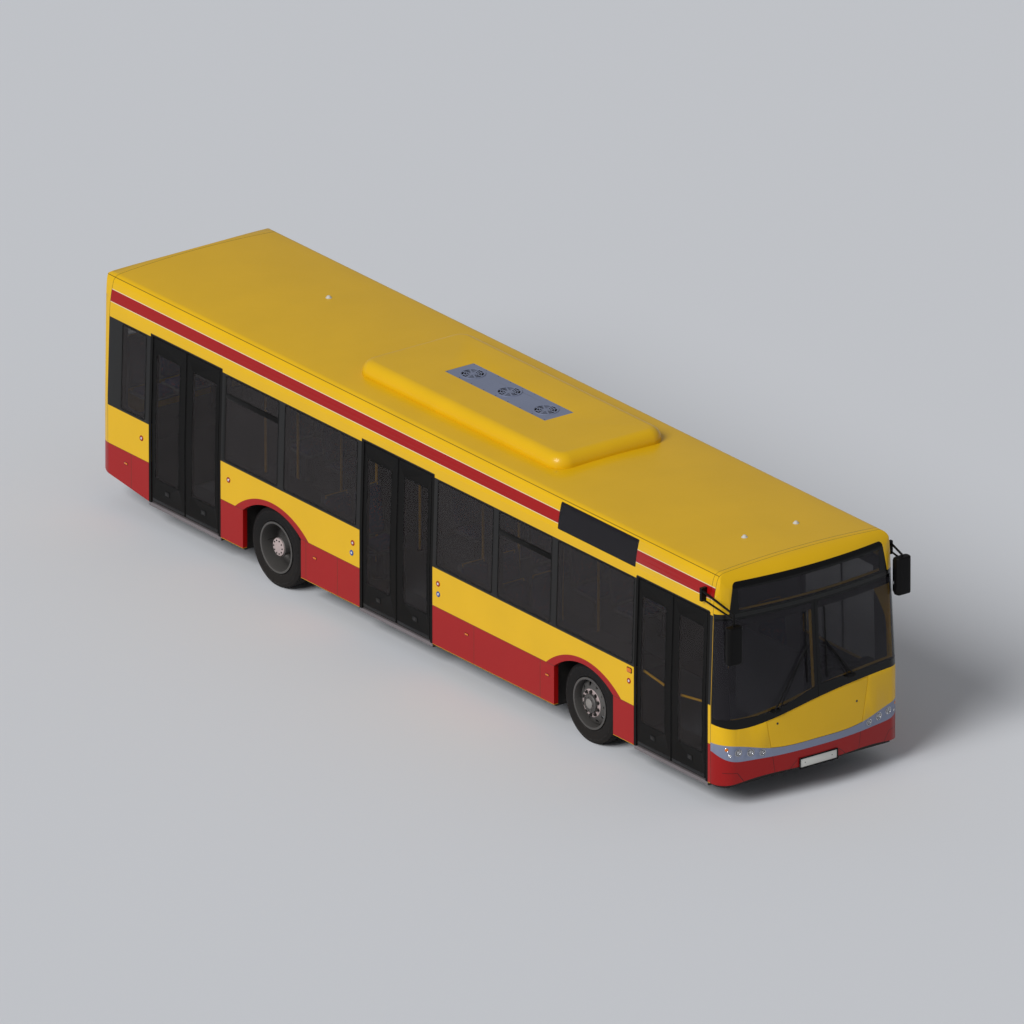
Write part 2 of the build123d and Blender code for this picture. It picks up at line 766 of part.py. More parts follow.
def handrails():
    """Stanchions from floor to ceiling joined by two rails."""
    shapes = []
    for x in (-rail_x, rail_x):
        shapes.append(tube_along([(x, -3800, 1950), (x, 4900, 1950)], 16))
        for y in (-3700, -2300, -800, 700, 1900, 3400, 4850):
            foot = Pos(x, y, floor_top + seat_clearance)
            shapes.append(foot * Cylinder(16, roof_height - floor_top, align=stand) & form(wall + seat_clearance))
    return shapes


rails = handrails()
save(Compound([fused(rails[:8]), fused(rails[8:])]), "handrails")

# driver's cab
cab_x = floor_x
cab_floor = block(cab_side_x, cab_x, wall_front_y + 20, cab_back_y, floor_top + 0.3, cab_floor_z)
partition = block(cab_side_x, cab_x - 25, cab_back_y - 30, cab_back_y, cab_floor_z, 1950)
cab_door = block(cab_side_x, cab_side_x + 30, wall_front_y + 350, cab_back_y - 30, cab_floor_z, 1350)
save(cab_floor + partition + cab_door, "driver_cab")
dash = block(cab_side_x, cab_x - 30, wall_front_y - 60, wall_front_y + 300, cab_floor_z + 0.3, 1150)
save((dash & form(wall + 25)), "dashboard")
wheel_place = Pos(driver_x, wall_front_y + 590, 1130) * Rot(X=25)
ring = Torus(225, 16) + Box(430, 36, 16) + Box(36, 430, 16) + Cylinder(45, 30)
column = tube_along([(driver_x, wall_front_y + 590, 1125), (driver_x, wall_front_y + 400, cab_floor_z + 0.3)], 30)
column = column - block(driver_x - 60, driver_x + 60, wall_front_y, wall_front_y + 700, cab_floor_z - 60, cab_floor_z + 0.3)
save(wheel_place * ring + column, "steering_wheel")

# ---------------------------------------------------------------- wheels and axles


def wheel_solid(points, side, face_x, axle_y):
    """Revolve a closed outline of (radius, depth inwards from the tyre face)."""
    face = make_face(Polyline(*points, close=True))
    turned = revolve(face, Axis.Y)
    placed = Rot(Z=-90 if side < 0 else 90) * turned
    return Pos(side * face_x, axle_y, axle_z) * placed


def tyre(side, face_x, axle_y):
    """Tyre with rounded shoulders."""
    w = tyre_width
    r = tyre_radius
    outline = [
        Line((bead_radius, 28), (bead_radius, w - 28)),
        Polyline((bead_radius, 28), (bead_radius + 20, 24)),
        Polyline((bead_radius, w - 28), (bead_radius + 20, w - 24)),
        ThreePointArc((bead_radius + 20, 24), (bead_radius + 95, 0), (r - 10, 24)),
        ThreePointArc((r - 10, 24), (r - 2, 32), (r, 46)),
        Line((r, 46), (r, w - 46)),
        ThreePointArc((r - 10, w - 24), (r - 2, w - 32), (r, w - 46)),
        ThreePointArc((bead_radius + 20, w - 24), (bead_radius + 95, w), (r - 10, w - 24)),
    ]
    turned = revolve(make_face(Curve() + outline), Axis.Y)
    placed = Rot(Z=-90 if side < 0 else 90) * turned
    return Pos(side * face_x, axle_y, axle_z) * placed


def barrel(depth0, depth1):
    """Rim barrel outline with its two flanges."""
    r = bead_radius - seat_clearance
    return [
        (r + 14, depth0), (r + 14, depth0 + 10), (r, depth0 + 14), (r, depth0 + 34), (r - 4, depth0 + 48),
        (r - 4, depth1 - 48), (r, depth1 - 34), (r, depth1 - 14), (r + 14, depth1 - 10), (r + 14, depth1),
        (r - 10, depth1), (r - 16, depth1 - 40), (r - 16, depth0 + 40), (r - 10, depth0),
    ]


def hand_holes(shape, side, face_x, axle_y, count, pitch, radius):
    for i in range(count):
        angle = 360 / count * (i + 0.5)
        drill = Rot(X=angle) * Pos(0, 0, pitch) * Rot(Y=90) * Cylinder(radius, 700)
        shape = shape - Pos(side * face_x, axle_y, axle_z) * drill
    return shape


def front_rim(side):
    """Outward-dished wheel with its hub."""
    disc = [
        (281, 118), (250, 84), (185, 52), (165, 40), (112, 40), (112, 12), (96, 0), (0, 0),
        (0, 132), (110, 132), (110, 52), (160, 52), (180, 64), (243, 96), (270, 128), (281, 132),
    ]
    rim = wheel_solid(barrel(8, tyre_width - 8), side, front_tyre_face, front_axle_y)
    plate = wheel_solid(disc, side, front_tyre_face, front_axle_y)
    plate = hand_holes(plate, side, front_tyre_face, front_axle_y, 10, 218, 24)
    return rim + plate


def rear_rims(side):
    """Twin wheels bolted back to back on one hub."""
    face = twin_pitch / 2 + tyre_width / 2
    disc = [
        (281, face - 71), (262, face - 33), (225, face - 14), (112, face - 14), (112, 60), (92, 46), (0, 46),
        (0, face + 62), (110, face + 62), (110, face + 14), (225, face + 14), (262, face + 33), (281, face + 71),
        (281, face + 55), (270, face + 23), (240, face), (270, face - 23), (281, face - 55),
    ]
    outer = wheel_solid(barrel(8, tyre_width - 8), side, rear_tyre_face, rear_axle_y)
    inner = wheel_solid(barrel(twin_pitch + 8, twin_pitch + tyre_width - 8), side, rear_tyre_face, rear_axle_y)
    plate = wheel_solid(disc, side, rear_tyre_face, rear_axle_y)
    plate = hand_holes(plate, side, rear_tyre_face, rear_axle_y, 10, 190, 26)
    return outer + inner + plate


for side, hand in ((-1, "right"), (1, "left")):
    save(tyre(side, front_tyre_face, front_axle_y), f"front_{hand}_tyre")
    save(front_rim(side), f"front_{hand}_rim")
    twins = [tyre(side, rear_tyre_face, rear_axle_y), tyre(side, rear_tyre_face - twin_pitch, rear_axle_y)]
    save(Compound(twins), f"rear_{hand}_tyres")
    save(rear_rims(side), f"rear_{hand}_rims")

hub_depth = 132.0
stub_length = front_tyre_face - hub_depth - kingpin_x - 62 - seat_clearance
eye_half = 80.0
eye_radius = 34.0


def knuckle(side):
    """Fork round the axle eye, stub into the hub and steering arm to the rear."""
    x = side * kingpin_x
    y = front_axle_y
    pin = Pos(x, y, axle_z) * Cylinder(20, 2 * eye_half + 60)
    fork = pin
    for sign in (1, -1):
        z = axle_z + sign * (eye_half + 20)
        ear = side_block(side, kingpin_x - 30, kingpin_x + 62, y - 38, y + 38, z - 15, z + 15)
        fork = fork + ear
    plate = side_block(side, kingpin_x + 44, kingpin_x + 62, y - 90, y + 90, axle_z - 115, axle_z + 115)
    stub = Pos(side * (kingpin_x + 62), y, axle_z) * Rot(Y=side * 90) * Cylinder(60, stub_length, align=stand)
    fork = fork + plate + stub
    low = axle_z - eye_half - 20
    arm = tube_along([(x, y, low), (x, y + 130, low - 20), (x, y + steering_arm, track_rod_z + 45)], 15)
    ball = Pos(x, y + steering_arm, track_rod_z - 24) * Cylinder(9, 75, align=stand)
    return fork + arm + ball


save(knuckle(1), "left_knuckle")
save(knuckle(-1), "right_knuckle")

rod_y = front_axle_y + steering_arm
rod = tube_along([(-kingpin_x + 20, rod_y, track_rod_z), (kingpin_x - 20, rod_y, track_rod_z)], track_rod_radius)
for side in (1, -1):
    rod = rod + Pos(side * kingpin_x, rod_y, track_rod_z) * Cylinder(24, 34)
rod = rod - Pos(kingpin_x, rod_y, track_rod_z) * Cylinder(9.4, 60)
rod = rod - Pos(-kingpin_x, rod_y, track_rod_z) * Cylinder(9.4, 60)
save(rod, "track_rod")


spring_x = 690.0
spring_foot_z = axle_z + 10


def front_axle():
    """Dropped beam with an eye for each kingpin."""
    y = front_axle_y
    beam = block(-600, 600, y - beam_half, y + beam_half, 140, 230)
    for side in (1, -1):
        rise = Plane.XZ * make_face(
            Polyline(
                (side * 590, 140), (side * 660, 140), (side * (kingpin_x - 20), 430), (side * (kingpin_x - 20), 530),
                (side * 800, 530), (side * 590, 230), close=True,
            )
        )
        beam = beam + Pos(0, y + rise_half, 0) * extrude(rise, 2 * rise_half)
        eye = Pos(side * kingpin_x, y, axle_z) * Cylinder(eye_radius, 2 * eye_half)
        eye = eye + side_block(side, kingpin_x - 60, kingpin_x, y - 34, y + 34, axle_z - 60, axle_z + 60)
        beam = beam + eye
        beam = beam - Pos(side * kingpin_x, y, axle_z) * Cylinder(20.05, 400)
        beam = beam + side_block(side, spring_x - 50, spring_x + 50, y - 50, y + 50, 330, spring_foot_z - seat_clearance)
    return beam


save(front_axle(), "front_axle")


def rear_axle():
    """Low beam with an offset final drive and portal ends."""
    y = rear_axle_y
    tube = tube_along([(-500, y, 185), (500, y, 185)], 55)
    drive = Pos(380, y, 185) * Sphere(110)
    axle = tube + (drive & block(-600, 600, y - 200, y + 200, 90, floor_top - floor_depth - 6))
    for side in (1, -1):
        case = side_block(side, wheel_box_inner - 60, rear_twin_face - 12, y - 85, y + 85, 130, 245)
        rise = side_block(side, wheel_box_inner + wheel_box_wall + 6, rear_twin_face - 8, y - 85, y + 85, 130, 560)
        hub_case = Pos(side * (rear_twin_face - 12), y, axle_z) * Rot(Y=side * 90) * Cylinder(150, 90, align=stand)
        stop = side_block(side, 495, wheel_box_inner - 5, y - 60, y + 60, 240, floor_top - floor_depth - seat_clearance)
        stub = Pos(side * (rear_twin_face + 70), y, axle_z) * Rot(Y=side * 90) * Cylinder(60, rear_stub, align=stand)
        axle = axle + case + rise + hub_case + stop + stub
    return axle


rear_twin_face = rear_tyre_face - twin_pitch - tyre_width
rear_hub_depth = twin_pitch / 2 + tyre_width / 2 + 62
rear_stub = rear_tyre_face - rear_hub_depth - rear_twin_face - 70 - seat_clearance
save(rear_axle(), "rear_axle")


def air_springs():
    """Bellows between the front axle and the wheel boxes."""
    shapes = []
    rings = 3
    foot = spring_foot_z
    head = wheel_box_top - wheel_box_wall - seat_clearance
    pitch = (head - foot - 120) / rings
    for side in (1, -1):
        place = Pos(side * spring_x, front_axle_y, 0)
        shape = place * Pos(0, 0, foot) * Cylinder(60, 120, align=stand)
        shape = shape + place * Pos(0, 0, foot + 80) * Cylinder(82, head - foot - 80, align=stand)
        for i in range(rings):
            shape = shape + place * Pos(0, 0, foot + 90 + pitch * (i + 0.5)) * Cylinder(95, pitch - 16)
        shapes.append(shape)
    return shapes


save(Compound(air_springs()), "air_springs")

# ---------------------------------------------------------------- roof pod, mirrors, wipers, lamps
pod_plan = Pos(0, (pod_front_y + pod_rear_y) / 2) * RectangleRounded(2 * pod_half, pod_rear_y - pod_front_y, 220)
pod = Pos(0, 0, roof_height - 60) * extrude(pod_plan, pod_top_z - roof_height + 60)
rim_edges = pod.edges().filter_by(lambda e: abs(e.center().Z - pod_top_z) < 1)
pod = fillet(rim_edges, pod_edge_radius) - form(-seat_clearance)
plate_y = (plate_front_y + plate_rear_y) / 2
plate = Pos(0, plate_y, pod_top_z - 12) * extrude(Rectangle(2 * plate_half, plate_rear_y - plate_front_y), 12)
save(pod - plate, "roof_pod")
fans = Pos(0, plate_y, pod_top_z - 12 + seat_clearance) * extrude(
    Rectangle(2 * plate_half - 2, plate_rear_y - plate_front_y - 2), 10
)
for i in (-1, 0, 1):
    place = Pos(0, plate_y + i * fan_pitch, pod_top_z - 2)
    fans = fans + place * (Cylinder(150, 8, align=stand) - Cylinder(132, 8, align=stand))
    for k in range(4):
        ring_r = 30 + 28 * k
        fans = fans - place * Pos(0, 0, -6) * (Cylinder(ring_r + 8, 10, align=stand) - Cylinder(ring_r, 10, align=stand))
save(fans, "pod_grille")


def mirror_set(side):
    """Mirror on its bent arm: long and low by the door, short by the driver."""
    if side < 0:
        root_y, root_z, tip_y, head_z = wall_front_y + 160, 2560, front_y - mirror_reach + 55, 2130
    else:
        root_y, root_z, tip_y, head_z = wall_front_y + 20, 2560, front_y + 160, 2260
    reach = half + 25
    x = side * (half + 5)
    head = Pos(side * reach, tip_y, head_z) * extrude(RectangleRounded(200, 110, 45), 225, both=True)
    head = fillet(head.edges().filter_by(lambda e: abs(abs(e.center().Z - head_z) - 225) < 1), 18)
    bracket = side_block(side, lean_x - 20, half + 22, root_y - 20, root_y + 20, root_z - 100, root_z + 60)
    bracket = bracket - form(-seat_clearance)
    upper = tube_along(
        [(x, root_y, root_z + 30), (side * reach, tip_y, root_z - 60), (side * reach, tip_y, head_z + 200)], 13
    )
    lower = tube_along([(x, root_y, root_z - 70), (side * reach, tip_y, root_z - 120)], 11)
    return head + bracket + upper + lower


save(Compound([mirror_set(-1), mirror_set(1)]), "mirrors")

# wipers: pantograph arms and upright blades
wipers = []
for side, foot_x, foot_z in ((-1, 630, 1120), (1, 495, 1300)):
    sign_x = 148 if side < 0 else 124
    start = (side * foot_x, front_y - 8, foot_z)
    elbow = (side * sign_x, front_y + 25, 1790)
    blade = tube_along([(side * sign_x, front_y + 8, 1357), (side * sign_x, front_y + 68, 2195)], 9)
    arm = tube_along([start, elbow], 9)
    second = tube_along([(side * (foot_x - 72), front_y - 8, foot_z + 5), elbow], 6)
    pivot = Pos(side * (foot_x - 36), front_y - 12, foot_z) * Rot(X=90) * RectangleRounded(120, 40, 18)
    mount = extrude(pivot, -60)
    wipers.append(arm + second + blade + mount - form(glass_inset - seat_clearance))
save(Compound(wipers), "wipers")

# rear lamps
rear_lamp_bodies = []
for side in (1, -1):
    for z in (760, 900, 1040, 1180):
        bore = Pos(side * 1060, rear_y - 300, z) * Rot(X=-90) * Cylinder(55, 400, align=stand)
        rear_lamp_bodies.append(skin(-12, -seat_clearance, bore))
save(Compound(rear_lamp_bodies), "rear_lamps")
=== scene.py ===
import json
import math

import bmesh
import bpy
from mathutils import Matrix, Vector
from mathutils.bvhtree import BVHTree


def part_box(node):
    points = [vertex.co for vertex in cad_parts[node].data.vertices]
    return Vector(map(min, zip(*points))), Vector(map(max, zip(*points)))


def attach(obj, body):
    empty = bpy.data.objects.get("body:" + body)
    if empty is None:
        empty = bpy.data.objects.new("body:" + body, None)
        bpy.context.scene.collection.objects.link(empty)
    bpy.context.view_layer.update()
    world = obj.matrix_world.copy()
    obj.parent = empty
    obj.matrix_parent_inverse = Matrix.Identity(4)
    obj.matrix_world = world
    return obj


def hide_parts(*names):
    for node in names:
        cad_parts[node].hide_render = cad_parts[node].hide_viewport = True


# City bus: paint, glass, wheels, lamps, doors and saloon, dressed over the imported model.
# Metres. The front faces -Y, the doors are on -X, +Z is up.
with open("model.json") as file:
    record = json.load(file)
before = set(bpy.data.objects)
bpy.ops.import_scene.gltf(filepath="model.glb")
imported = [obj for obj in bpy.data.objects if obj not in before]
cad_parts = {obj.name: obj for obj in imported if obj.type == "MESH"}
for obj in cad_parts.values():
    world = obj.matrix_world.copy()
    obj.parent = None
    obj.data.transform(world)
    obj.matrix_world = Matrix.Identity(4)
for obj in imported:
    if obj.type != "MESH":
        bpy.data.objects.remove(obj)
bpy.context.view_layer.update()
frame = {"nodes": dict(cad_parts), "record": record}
nodes = frame["nodes"]
scene = bpy.context.scene

mask_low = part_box("front_mask")[0]
shift = mask_low.y + 6.0          # the body's middle along the bus
half_width = -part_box("right_wall")[0].x


def along(y):
    """A place along the bus, measured from the middle of the body."""
    return y + shift


# ------------------------------------------------------------------ camera, light, floor
look_right = Vector((0.7999, -0.6002, 0.0))
look_up = Vector((0.2239, 0.2984, 0.9278))
look_back = Vector((-0.5569, -0.7421, 0.3730))
lens_length, sensor, view_width = 1400.0, 36.0, 11.636
camera_data = bpy.data.cameras.new("camera")
camera_data.lens = lens_length
camera_data.sensor_width = sensor
camera_data.clip_end = 4000
camera = bpy.data.objects.new("camera", camera_data)
scene.collection.objects.link(camera)
target = look_right * 0.1545 + look_up * 1.3506 + Vector((0, shift, 0))
camera.location = target + look_back.normalized() * (view_width * lens_length / sensor)
camera.rotation_euler = look_back.to_track_quat("Z", "Y").to_euler()
scene.camera = camera
scene.view_settings.view_transform = "Standard"


def lamp(name, kind, energy, place, aim, angle=0.2):
    """A studio lamp that looks at a point."""
    data = bpy.data.lights.new(name, kind)
    data.energy = energy
    data.angle = angle
    light = bpy.data.objects.new(name, data)
    scene.collection.objects.link(light)
    light.location = place
    light.rotation_euler = (Vector(place) - Vector(aim)).to_track_quat("Z", "Y").to_euler()
    return light


lamp("key", "SUN", 2.4, (-9, -2.2, 7), (0, 0, 0), angle=0.5)


# ------------------------------------------------------------------ shader helpers
def tone(red, green, blue):
    """Colour from 0-255 screen values to the shader's linear values."""
    def linear(value):
        value = value / 255
        return value / 12.92 if value <= 0.04045 else ((value + 0.055) / 1.055) ** 2.4
    return (linear(red), linear(green), linear(blue), 1.0)


class Graph:
    """Short ways to add nodes to a tree."""

    def __init__(self, tree):
        self.tree = tree

    def feed(self, socket, value):
        if isinstance(value, bpy.types.NodeSocket):
            self.tree.links.new(value, socket)
        else:
            socket.default_value = value

    def node(self, kind, inputs=None, **settings):
        made = self.tree.nodes.new(kind)
        for key, value in settings.items():
            setattr(made, key, value)
        for key, value in (inputs or {}).items():
            self.feed(made.inputs[key], value)
        return made

    def math(self, operation, first, second=0.0, third=0.0):
        made = self.node("ShaderNodeMath", {0: first, 1: second}, operation=operation)
        if len(made.inputs) > 2:
            self.feed(made.inputs[2], third)
        return made.outputs[0]

    def ramp(self, value, low, high, out_low=0.0, out_high=1.0):
        made = self.node("ShaderNodeMapRange", {0: value, 1: low, 2: high, 3: out_low, 4: out_high})
        return made.outputs[0]

    def between(self, value, low, high, soft=0.0015):
        rise = self.ramp(value, low - soft, low + soft)
        fall = self.ramp(value, high - soft, high + soft, 1.0, 0.0)
        return self.math("MULTIPLY", rise, fall)

    def both(self, first, second):
        return self.math("MULTIPLY", first, second)

    def either(self, first, second):
        return self.math("MAXIMUM", first, second)

    def mix(self, mask, first, second):
        made = self.node("ShaderNodeMix", data_type="RGBA")
        self.feed(made.inputs[0], mask)
        self.feed(made.inputs[6], first)
        self.feed(made.inputs[7], second)
        return made.outputs[2]

    def noise(self, vector, scale, detail=3.0, roughness=0.5):
        made = self.node("ShaderNodeTexNoise", {"Vector": vector, "Scale": scale, "Detail": detail})
        made.inputs["Roughness"].default_value = roughness
        return made.outputs[0]

    def place(self):
        return self.node("ShaderNodeTexCoord").outputs["Object"]

    def split(self, vector):
        made = self.node("ShaderNodeSeparateXYZ", {0: vector})
        return made.outputs[0], made.outputs[1], made.outputs[2]


def new_group(name, inputs, outputs):
    """An empty node group with named float or colour or vector sockets."""
    tree = bpy.data.node_groups.new(name, "ShaderNodeTree")
    kinds = {"f": "NodeSocketFloat", "c": "NodeSocketColor", "v": "NodeSocketVector"}
    for label, kind, value in inputs:
        socket = tree.interface.new_socket(name=label, in_out="INPUT", socket_type=kinds[kind])
        if value is not None:
            socket.default_value = value
    for label, kind in outputs:
        tree.interface.new_socket(name=label, in_out="OUTPUT", socket_type=kinds[kind])
    graph = Graph(tree)
    return graph, graph.node("NodeGroupInput"), graph.node("NodeGroupOutput")


def surface_group():
    """Colour drift, road film near the ground and a fine uneven surface."""
    graph, given, result = new_group("surface", [("Colour", "c", (0.5, 0.5, 0.5, 1)), ("Drift", "f", 0.08),
        ("Film", "f", 0.05), ("Film height", "f", 0.9), ("Roughness", "f", 0.35), ("Grain scale", "f", 400.0),
        ("Grain", "f", 0.05), ("Wear", "f", 0.2), ("Wear colour", "c", (0.6, 0.6, 0.6, 1))],
        [("Colour", "c"), ("Roughness", "f"), ("Normal", "v")])
    place = graph.place()
    _, _, high = graph.split(place)
    broad = graph.noise(place, 1.6, 4.0)
    fine = graph.noise(place, 46.0, 5.0, 0.65)
    drift = graph.ramp(broad, 0.3, 0.7, -1.0, 1.0)
    bright = graph.math("MULTIPLY_ADD", drift, given.outputs["Drift"], 1.0)
    shade = graph.node("ShaderNodeHueSaturation",
        {"Value": bright, "Color": given.outputs["Colour"]}).outputs[0]
    low = graph.math("DIVIDE", high, given.outputs["Film height"])
    film = graph.math("SUBTRACT", 1.0, low)
    film = graph.node("ShaderNodeClamp", {0: film}).outputs[0]
    film = graph.math("POWER", film, 1.7)
    film = graph.both(film, graph.ramp(fine, 0.3, 0.75, 0.35, 1.0))
    film = graph.both(film, given.outputs["Film"])
    dusty = graph.mix(film, shade, tone(70, 62, 54))
    rounded = graph.node("ShaderNodeBevel", {"Radius": 0.006}, samples=4).outputs[0]
    flat = graph.node("ShaderNodeNewGeometry").outputs["Normal"]
    turn = graph.node("ShaderNodeVectorMath", {0: rounded, 1: flat}, operation="DOT_PRODUCT").outputs["Value"]
    edge = graph.ramp(turn, 0.96, 0.8)
    edge = graph.both(edge, graph.ramp(fine, 0.45, 0.65))
    edge = graph.both(edge, given.outputs["Wear"])
    worn = graph.mix(edge, dusty, given.outputs["Wear colour"])
    rough = graph.math("MULTIPLY_ADD", graph.ramp(fine, 0.2, 0.8, -0.5, 0.5), 0.14,
        given.outputs["Roughness"])
    rough = graph.math("MULTIPLY_ADD", film, 0.5, rough)
    grain = graph.noise(place, given.outputs["Grain scale"], 2.0)
    bump = graph.node("ShaderNodeBump", {"Strength": given.outputs["Grain"], "Distance": 0.002,
        "Height": grain}).outputs[0]
    graph.feed(result.inputs["Colour"], worn)
    graph.feed(result.inputs["Roughness"], rough)
    graph.feed(result.inputs["Normal"], bump)
    return graph.tree


surface_tree = surface_group()


def material(name, colour, metallic=0.0, coat=0.0, specular=0.25, **values):
    """A finish: constants sit on the shader's own sockets, the rest comes from the surface group."""
    made = bpy.data.materials.new(name)
    made.use_nodes = True
    graph = Graph(made.node_tree)
    shader = made.node_tree.nodes["Principled BSDF"]
    shader.inputs["Metallic"].default_value = metallic
    shader.inputs["Coat Weight"].default_value = coat
    shader.inputs["Coat Roughness"].default_value = 0.06
    shader.inputs["Specular IOR Level"].default_value = specular
    group = graph.node("ShaderNodeGroup", node_tree=surface_tree)
    graph.feed(group.inputs["Colour"], colour(graph) if callable(colour) else colour)
    for key, value in values.items():
        graph.feed(group.inputs[key.replace("_", " ")], value)
    graph.feed(shader.inputs["Base Color"], group.outputs["Colour"])
    graph.feed(shader.inputs["Roughness"], group.outputs["Roughness"])
    graph.feed(shader.inputs["Normal"], group.outputs["Normal"])
    return made


yellow = tone(226, 178, 16)
red = tone(158, 10, 10)
black = tone(17, 16, 15)
pale_edge = tone(226, 214, 176)
seam = tone(52, 40, 14)


def arch_mask(graph, y, z, centre):
    """The red flare round a wheel arch: the area under a shallow arc."""
    offset = graph.math("SUBTRACT", y, centre)
    rise = graph.math("ADD", z, 0.045)
    reach = graph.math("SQRT", graph.math("ADD", graph.both(offset, offset), graph.both(rise, rise)))
    return graph.ramp(reach, 1.0805, 1.0835, 1.0, 0.0)


def line_mask(graph, value, places, thickness=0.0028):
    """Thin lines where a value passes each of some places."""
    lines = None
    for place in places:
        near = graph.between(value, place - thickness, place + thickness, 0.0012)
        lines = near if lines is None else graph.either(lines, near)
    return lines


door_frames = [(3.58, 4.96), (-0.455, 0.93), (-5.61, -4.25)]


def livery(graph):
    """Yellow over red, a black window band, a red line under the roof, black door surrounds."""
    x, y, z = graph.split(graph.place())
    behind_mask = graph.ramp(y, along(-5.671), along(-5.669))
    beside = graph.ramp(graph.math("ABSOLUTE", x), 1.13, 1.14)
    lower = graph.ramp(z, 0.774, 0.7765, 1.0, 0.0)
    for centre in (-3.3, 2.6):
        lower = graph.either(lower, graph.both(arch_mask(graph, y, z, along(centre)), beside))
    lower = graph.both(lower, behind_mask)
    lower = graph.both(lower, graph.ramp(z, 0.303, 0.305))
    colour = graph.mix(lower, yellow, red)
    on_side = graph.both(behind_mask, graph.ramp(y, along(5.755), along(5.758), 1.0, 0.0))
    on_side = graph.both(on_side, beside)
    edge = graph.both(graph.between(z, 2.498, 2.650), on_side)
    colour = graph.mix(edge, colour, pale_edge)
    stripe = graph.both(graph.between(z, 2.506, 2.642), on_side)
    colour = graph.mix(stripe, colour, red)
    band = graph.both(graph.between(z, 1.245, 2.322), on_side)
    right = graph.both(graph.ramp(x, -1.0, -1.01), graph.between(z, 0.2, 2.362))
    for start, end in door_frames:
        band = graph.either(band, graph.both(right, graph.between(y, along(start), along(end))))
    brow = graph.both(graph.between(z, 2.27, 2.352), graph.ramp(y, along(-5.675), along(-5.678)))
    band = graph.either(band, brow)
    colour = graph.mix(band, colour, black)
    lines = line_mask(graph, y, [along(-5.67), along(5.753)])
    skirt = graph.both(line_mask(graph, y, [along(v) for v in (-2.487, -1.238, 1.35, 1.95, 5.3)]), lower)
    lines = graph.either(lines, skirt)
    waist = graph.both(line_mask(graph, z, [0.775], 0.0022), graph.both(on_side, graph.ramp(z, 0.1, 0.2)))
    lines = graph.either(lines, waist)
    across = graph.both(line_mask(graph, y, [along(-5.6)]), graph.ramp(z, 2.43, 2.44))
    lines = graph.either(lines, across)
    gutter = line_mask(graph, graph.math("ABSOLUTE", x), [1.154], 0.0025)
    lines = graph.either(lines, graph.both(gutter, graph.both(graph.ramp(z, 2.75, 2.76), behind_mask)))
    return graph.mix(lines, colour, seam)


paint = material("body_paint", livery, coat=0.15, Roughness=0.34, Drift=0.025, Grain_scale=900.0, Grain=0.02,
    Wear=0.1, Wear_colour=tone(150, 130, 90))


def bumper_colour(graph):
    """Red with the flap seam, and painted shade along the moulded creases beside the plate."""
    x, _, z = graph.split(graph.place())
    side = graph.math("ABSOLUTE", x)
    slope = graph.math("SUBTRACT", side, graph.ramp(z, 0.363, 1.206, 0.592, 0.718))
    lines = graph.between(slope, -0.003, 0.003, 0.0015)
    # ledge, drop and inner are painted shade along the moulded creases; slope is the flap seam
    ledge = graph.both(graph.between(graph.math("SUBTRACT", z, graph.ramp(side, 1.071, 1.224, 0.449, 0.46)),
        -0.003, 0.003), graph.between(side, 1.071, 1.224))
    drop = graph.both(graph.between(graph.math("SUBTRACT", side, graph.ramp(z, 0.335, 0.449, 0.991, 1.071)),
        -0.004, 0.004), graph.between(z, 0.2, 0.449))
    inner = graph.both(graph.between(graph.math("SUBTRACT", side, graph.ramp(z, 0.374, 0.449, 0.38, 0.294)),
        -0.004, 0.004), graph.between(z, 0.2, 0.449))
    lines = graph.either(lines, graph.either(graph.either(ledge, drop), inner))
    # the dark red marks the flap seam and the painted shade in the creases
    return graph.mix(lines, tone(150, 8, 8), tone(50, 4, 4))


bumper = material("bumper_paint", bumper_colour, coat=0.15, Roughness=0.34, Drift=0.03, Wear=0.08)
grey = material("grey_trim", tone(128, 135, 157), metallic=0.15, Roughness=0.42, Drift=0.04,
    Grain_scale=1400.0, Grain=0.04)
plastic = material("black_plastic", tone(13, 12, 12), specular=0.12, Roughness=0.5, Drift=0.12,
    Grain_scale=700.0, Grain=0.2, Wear=0.15, Wear_colour=tone(50, 48, 46))
frame_black = material("door_frame", tone(12, 11, 10), specular=0.1, Roughness=0.42, Drift=0.1,
    Grain_scale=900.0, Grain=0.05, Wear=0.15, Wear_colour=tone(60, 58, 54))
door_metal = material("door_metal", tone(34, 34, 35), metallic=0.3, Roughness=0.45, Drift=0.1, Wear=0.2)
threshold_metal = material("threshold_metal", tone(125, 118, 120), metallic=0.3, Roughness=0.5, Drift=0.1,
    Wear=0.3)
underframe = material("underframe", tone(46, 45, 44), Roughness=0.65, Drift=0.2, Film=0.3, Grain_scale=300.0,
    Grain=0.3)
axle_black = material("axle_paint", tone(28, 27, 26), Roughness=0.6, Drift=0.2, Film=0.3, Grain_scale=260.0,
    Grain=0.35)
cast = material("cast_metal", tone(84, 84, 86), metallic=0.5, Roughness=0.6, Drift=0.2, Film=0.3,
    Grain_scale=350.0, Grain=0.5)
rubber = material("bellows_rubber", tone(20, 20, 20), specular=0.1, Roughness=0.75, Drift=0.15, Film=0.2,
    Grain_scale=500.0, Grain=0.2)
tyre_rubber = material("tyre_rubber", tone(27, 26, 26), specular=0.15, Roughness=0.72, Drift=0.15, Film=0.25,
    Grain_scale=420.0, Grain=0.25)
seal_rubber = material("seal_rubber", tone(11, 11, 11), specular=0.1, Roughness=0.6, Drift=0.1,
    Grain_scale=900.0, Grain=0.1)
rail_yellow = material("rail_paint", tone(214, 160, 22), coat=0.15, Roughness=0.35, Drift=0.05, Film=0.0)
cab_grey = material("cab_panel", tone(96, 96, 100), Roughness=0.55, Drift=0.06, Grain_scale=600.0, Grain=0.2)
wheel_paint = material("wheel_steel", tone(92, 90, 88), metallic=0.35, Roughness=0.48, Drift=0.12, Film=0.25,
    Grain_scale=500.0, Grain=0.12, Wear=0.25)
